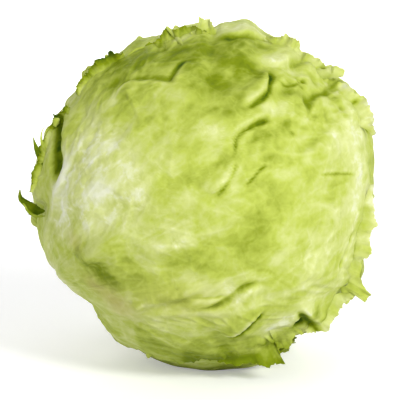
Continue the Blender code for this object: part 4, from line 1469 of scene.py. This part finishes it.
def makeStemMaterial():
    # cream pith, browned at the middle and in patches, with a ring of cut veins
    material, bench, shader = newMaterial("cutStem")
    place = bench.add("ShaderNodeTexCoord").outputs["Object"]
    away, onFace = bench.attribute("fromAxis"), bench.attribute("cutFace")
    blotch = bench.noise(place, 170.0, 4.0)
    colour = bench.ramp(bench.plus(away, bench.times(bench.less(blotch, 0.5), 0.3)), stemColours)
    cells = bench.add("ShaderNodeTexVoronoi", {"Vector": place, "Scale": 620.0}).outputs["Distance"]
    ringZone = bench.times(bench.spread(away, 0.52, 0.66), bench.spread(away, 0.88, 0.74))
    veins = bench.times(bench.times(bench.spread(cells, 0.30, 0.12), ringZone), onFace)
    veined = bench.blend(bench.times(veins, 0.7), colour, (0.40, 0.30, 0.10, 1))
    stain = bench.times(bench.spread(blotch, 0.56, 0.72), bench.times(onFace, 0.75))
    height = bench.plus(bench.noise(place, 900.0, 3.0), bench.times(veins, -0.8))
    bump = bench.add("ShaderNodeBump", {"Height": height, "Strength": 0.5, "Distance": 0.35 * mm})
    bench.wire(shader, {
        "Base Color": bench.blend(stain, veined, (0.44, 0.25, 0.09, 1)), "Roughness": 0.55,
        "Normal": bump.outputs["Normal"], "Subsurface Weight": 0.15, "Subsurface Scale": 2 * mm,
    })
    return material


makeHeart()
stemMaterial = makeStemMaterial()
makeStem()


# Floor, light and camera
def makeStage():
    mesh = bpy.data.meshes.new("floor")
    back = [(0, 0), (1, 0), (1.35, 0.02), (1.65, 0.12), (1.9, 0.34), (2.02, 0.62), (2.05, 1.0), (2.05, 3.0)]
    profile = [(-4.0, 0)] + [(y + 0.6, z) for y, z in back]
    points = [(x, y, z) for y, z in profile for x in (-4, 4)]
    mesh.from_pydata(points, [], [(2 * i, 2 * i + 1, 2 * i + 3, 2 * i + 2) for i in range(len(profile) - 1)])
    mesh.shade_smooth()
    floor = placeObject("floor", mesh)
    material, bench, shader = newMaterial("paleFloor")
    ray = bench.add("ShaderNodeLightPath").outputs["Is Camera Ray"]
    bench.wire(shader, {
        "Base Color": (0.9, 0.9, 0.9, 1), "Roughness": 0.9, "Emission Color": (1, 1, 1, 1),
        "Emission Strength": bench.times(ray, 0.3),
    })
    mesh.materials.append(material)


lights = {  # place, size and watts of each soft light, all but the backdrop aimed at the head
    "key": ((0.78, -1.15, 0.80), 0.45, 19.0),
    "fill": ((-1.1, -1.0, 0.5), 1.3, 4.5),
    "top": ((0.15, 0.35, 1.4), 0.9, 1.5),
    "backdrop": ((0.0, 1.2, 1.6), 1.6, 45.0),
}
backdropAim = Vector((0, 2.6, 0.7))


def makeLights():
    target = Vector((0, 0, head["restHeight"]))
    for name, (place, size, watts) in lights.items():
        lamp = bpy.data.lights.new(name, "AREA")
        lamp.shape, lamp.size, lamp.energy = "DISK", size, watts
        obj = placeObject(name, lamp)
        obj.location = place
        towards = (backdropAim if name == "backdrop" else target) - Vector(place)
        obj.rotation_euler = towards.to_track_quat("-Z", "Y").to_euler()
    world = bpy.data.worlds.new("paleRoom")
    world.use_nodes = True
    bench = Bench(world.node_tree, ends=False)
    seen = bench.times(bench.add("ShaderNodeLightPath").outputs["Is Camera Ray"], 0.5)
    background = world.node_tree.nodes["Background"]
    bench.wire(background, {"Color": (1, 1, 1, 1), "Strength": bench.plus(seen, 0.5)})
    bpy.context.scene.world = world
    bpy.context.scene.view_settings.view_transform = "Standard"


def makeCamera():
    camera = bpy.data.cameras.new("camera")
    camera.lens, camera.sensor_width = photoView["lens"], 36
    obj = placeObject("camera", camera)
    aim = Vector(np.array(photoView["aim"]) @ viewSides + [0, 0, head["restHeight"]])
    obj.location = aim - photoView["distance"] * Vector(viewForward)
    obj.rotation_euler = (math.pi / 2 - viewTilt, 0, 0)
    bpy.context.scene.camera = obj


makeStage()
makeLights()
makeCamera()
print("floor, lights and camera placed")
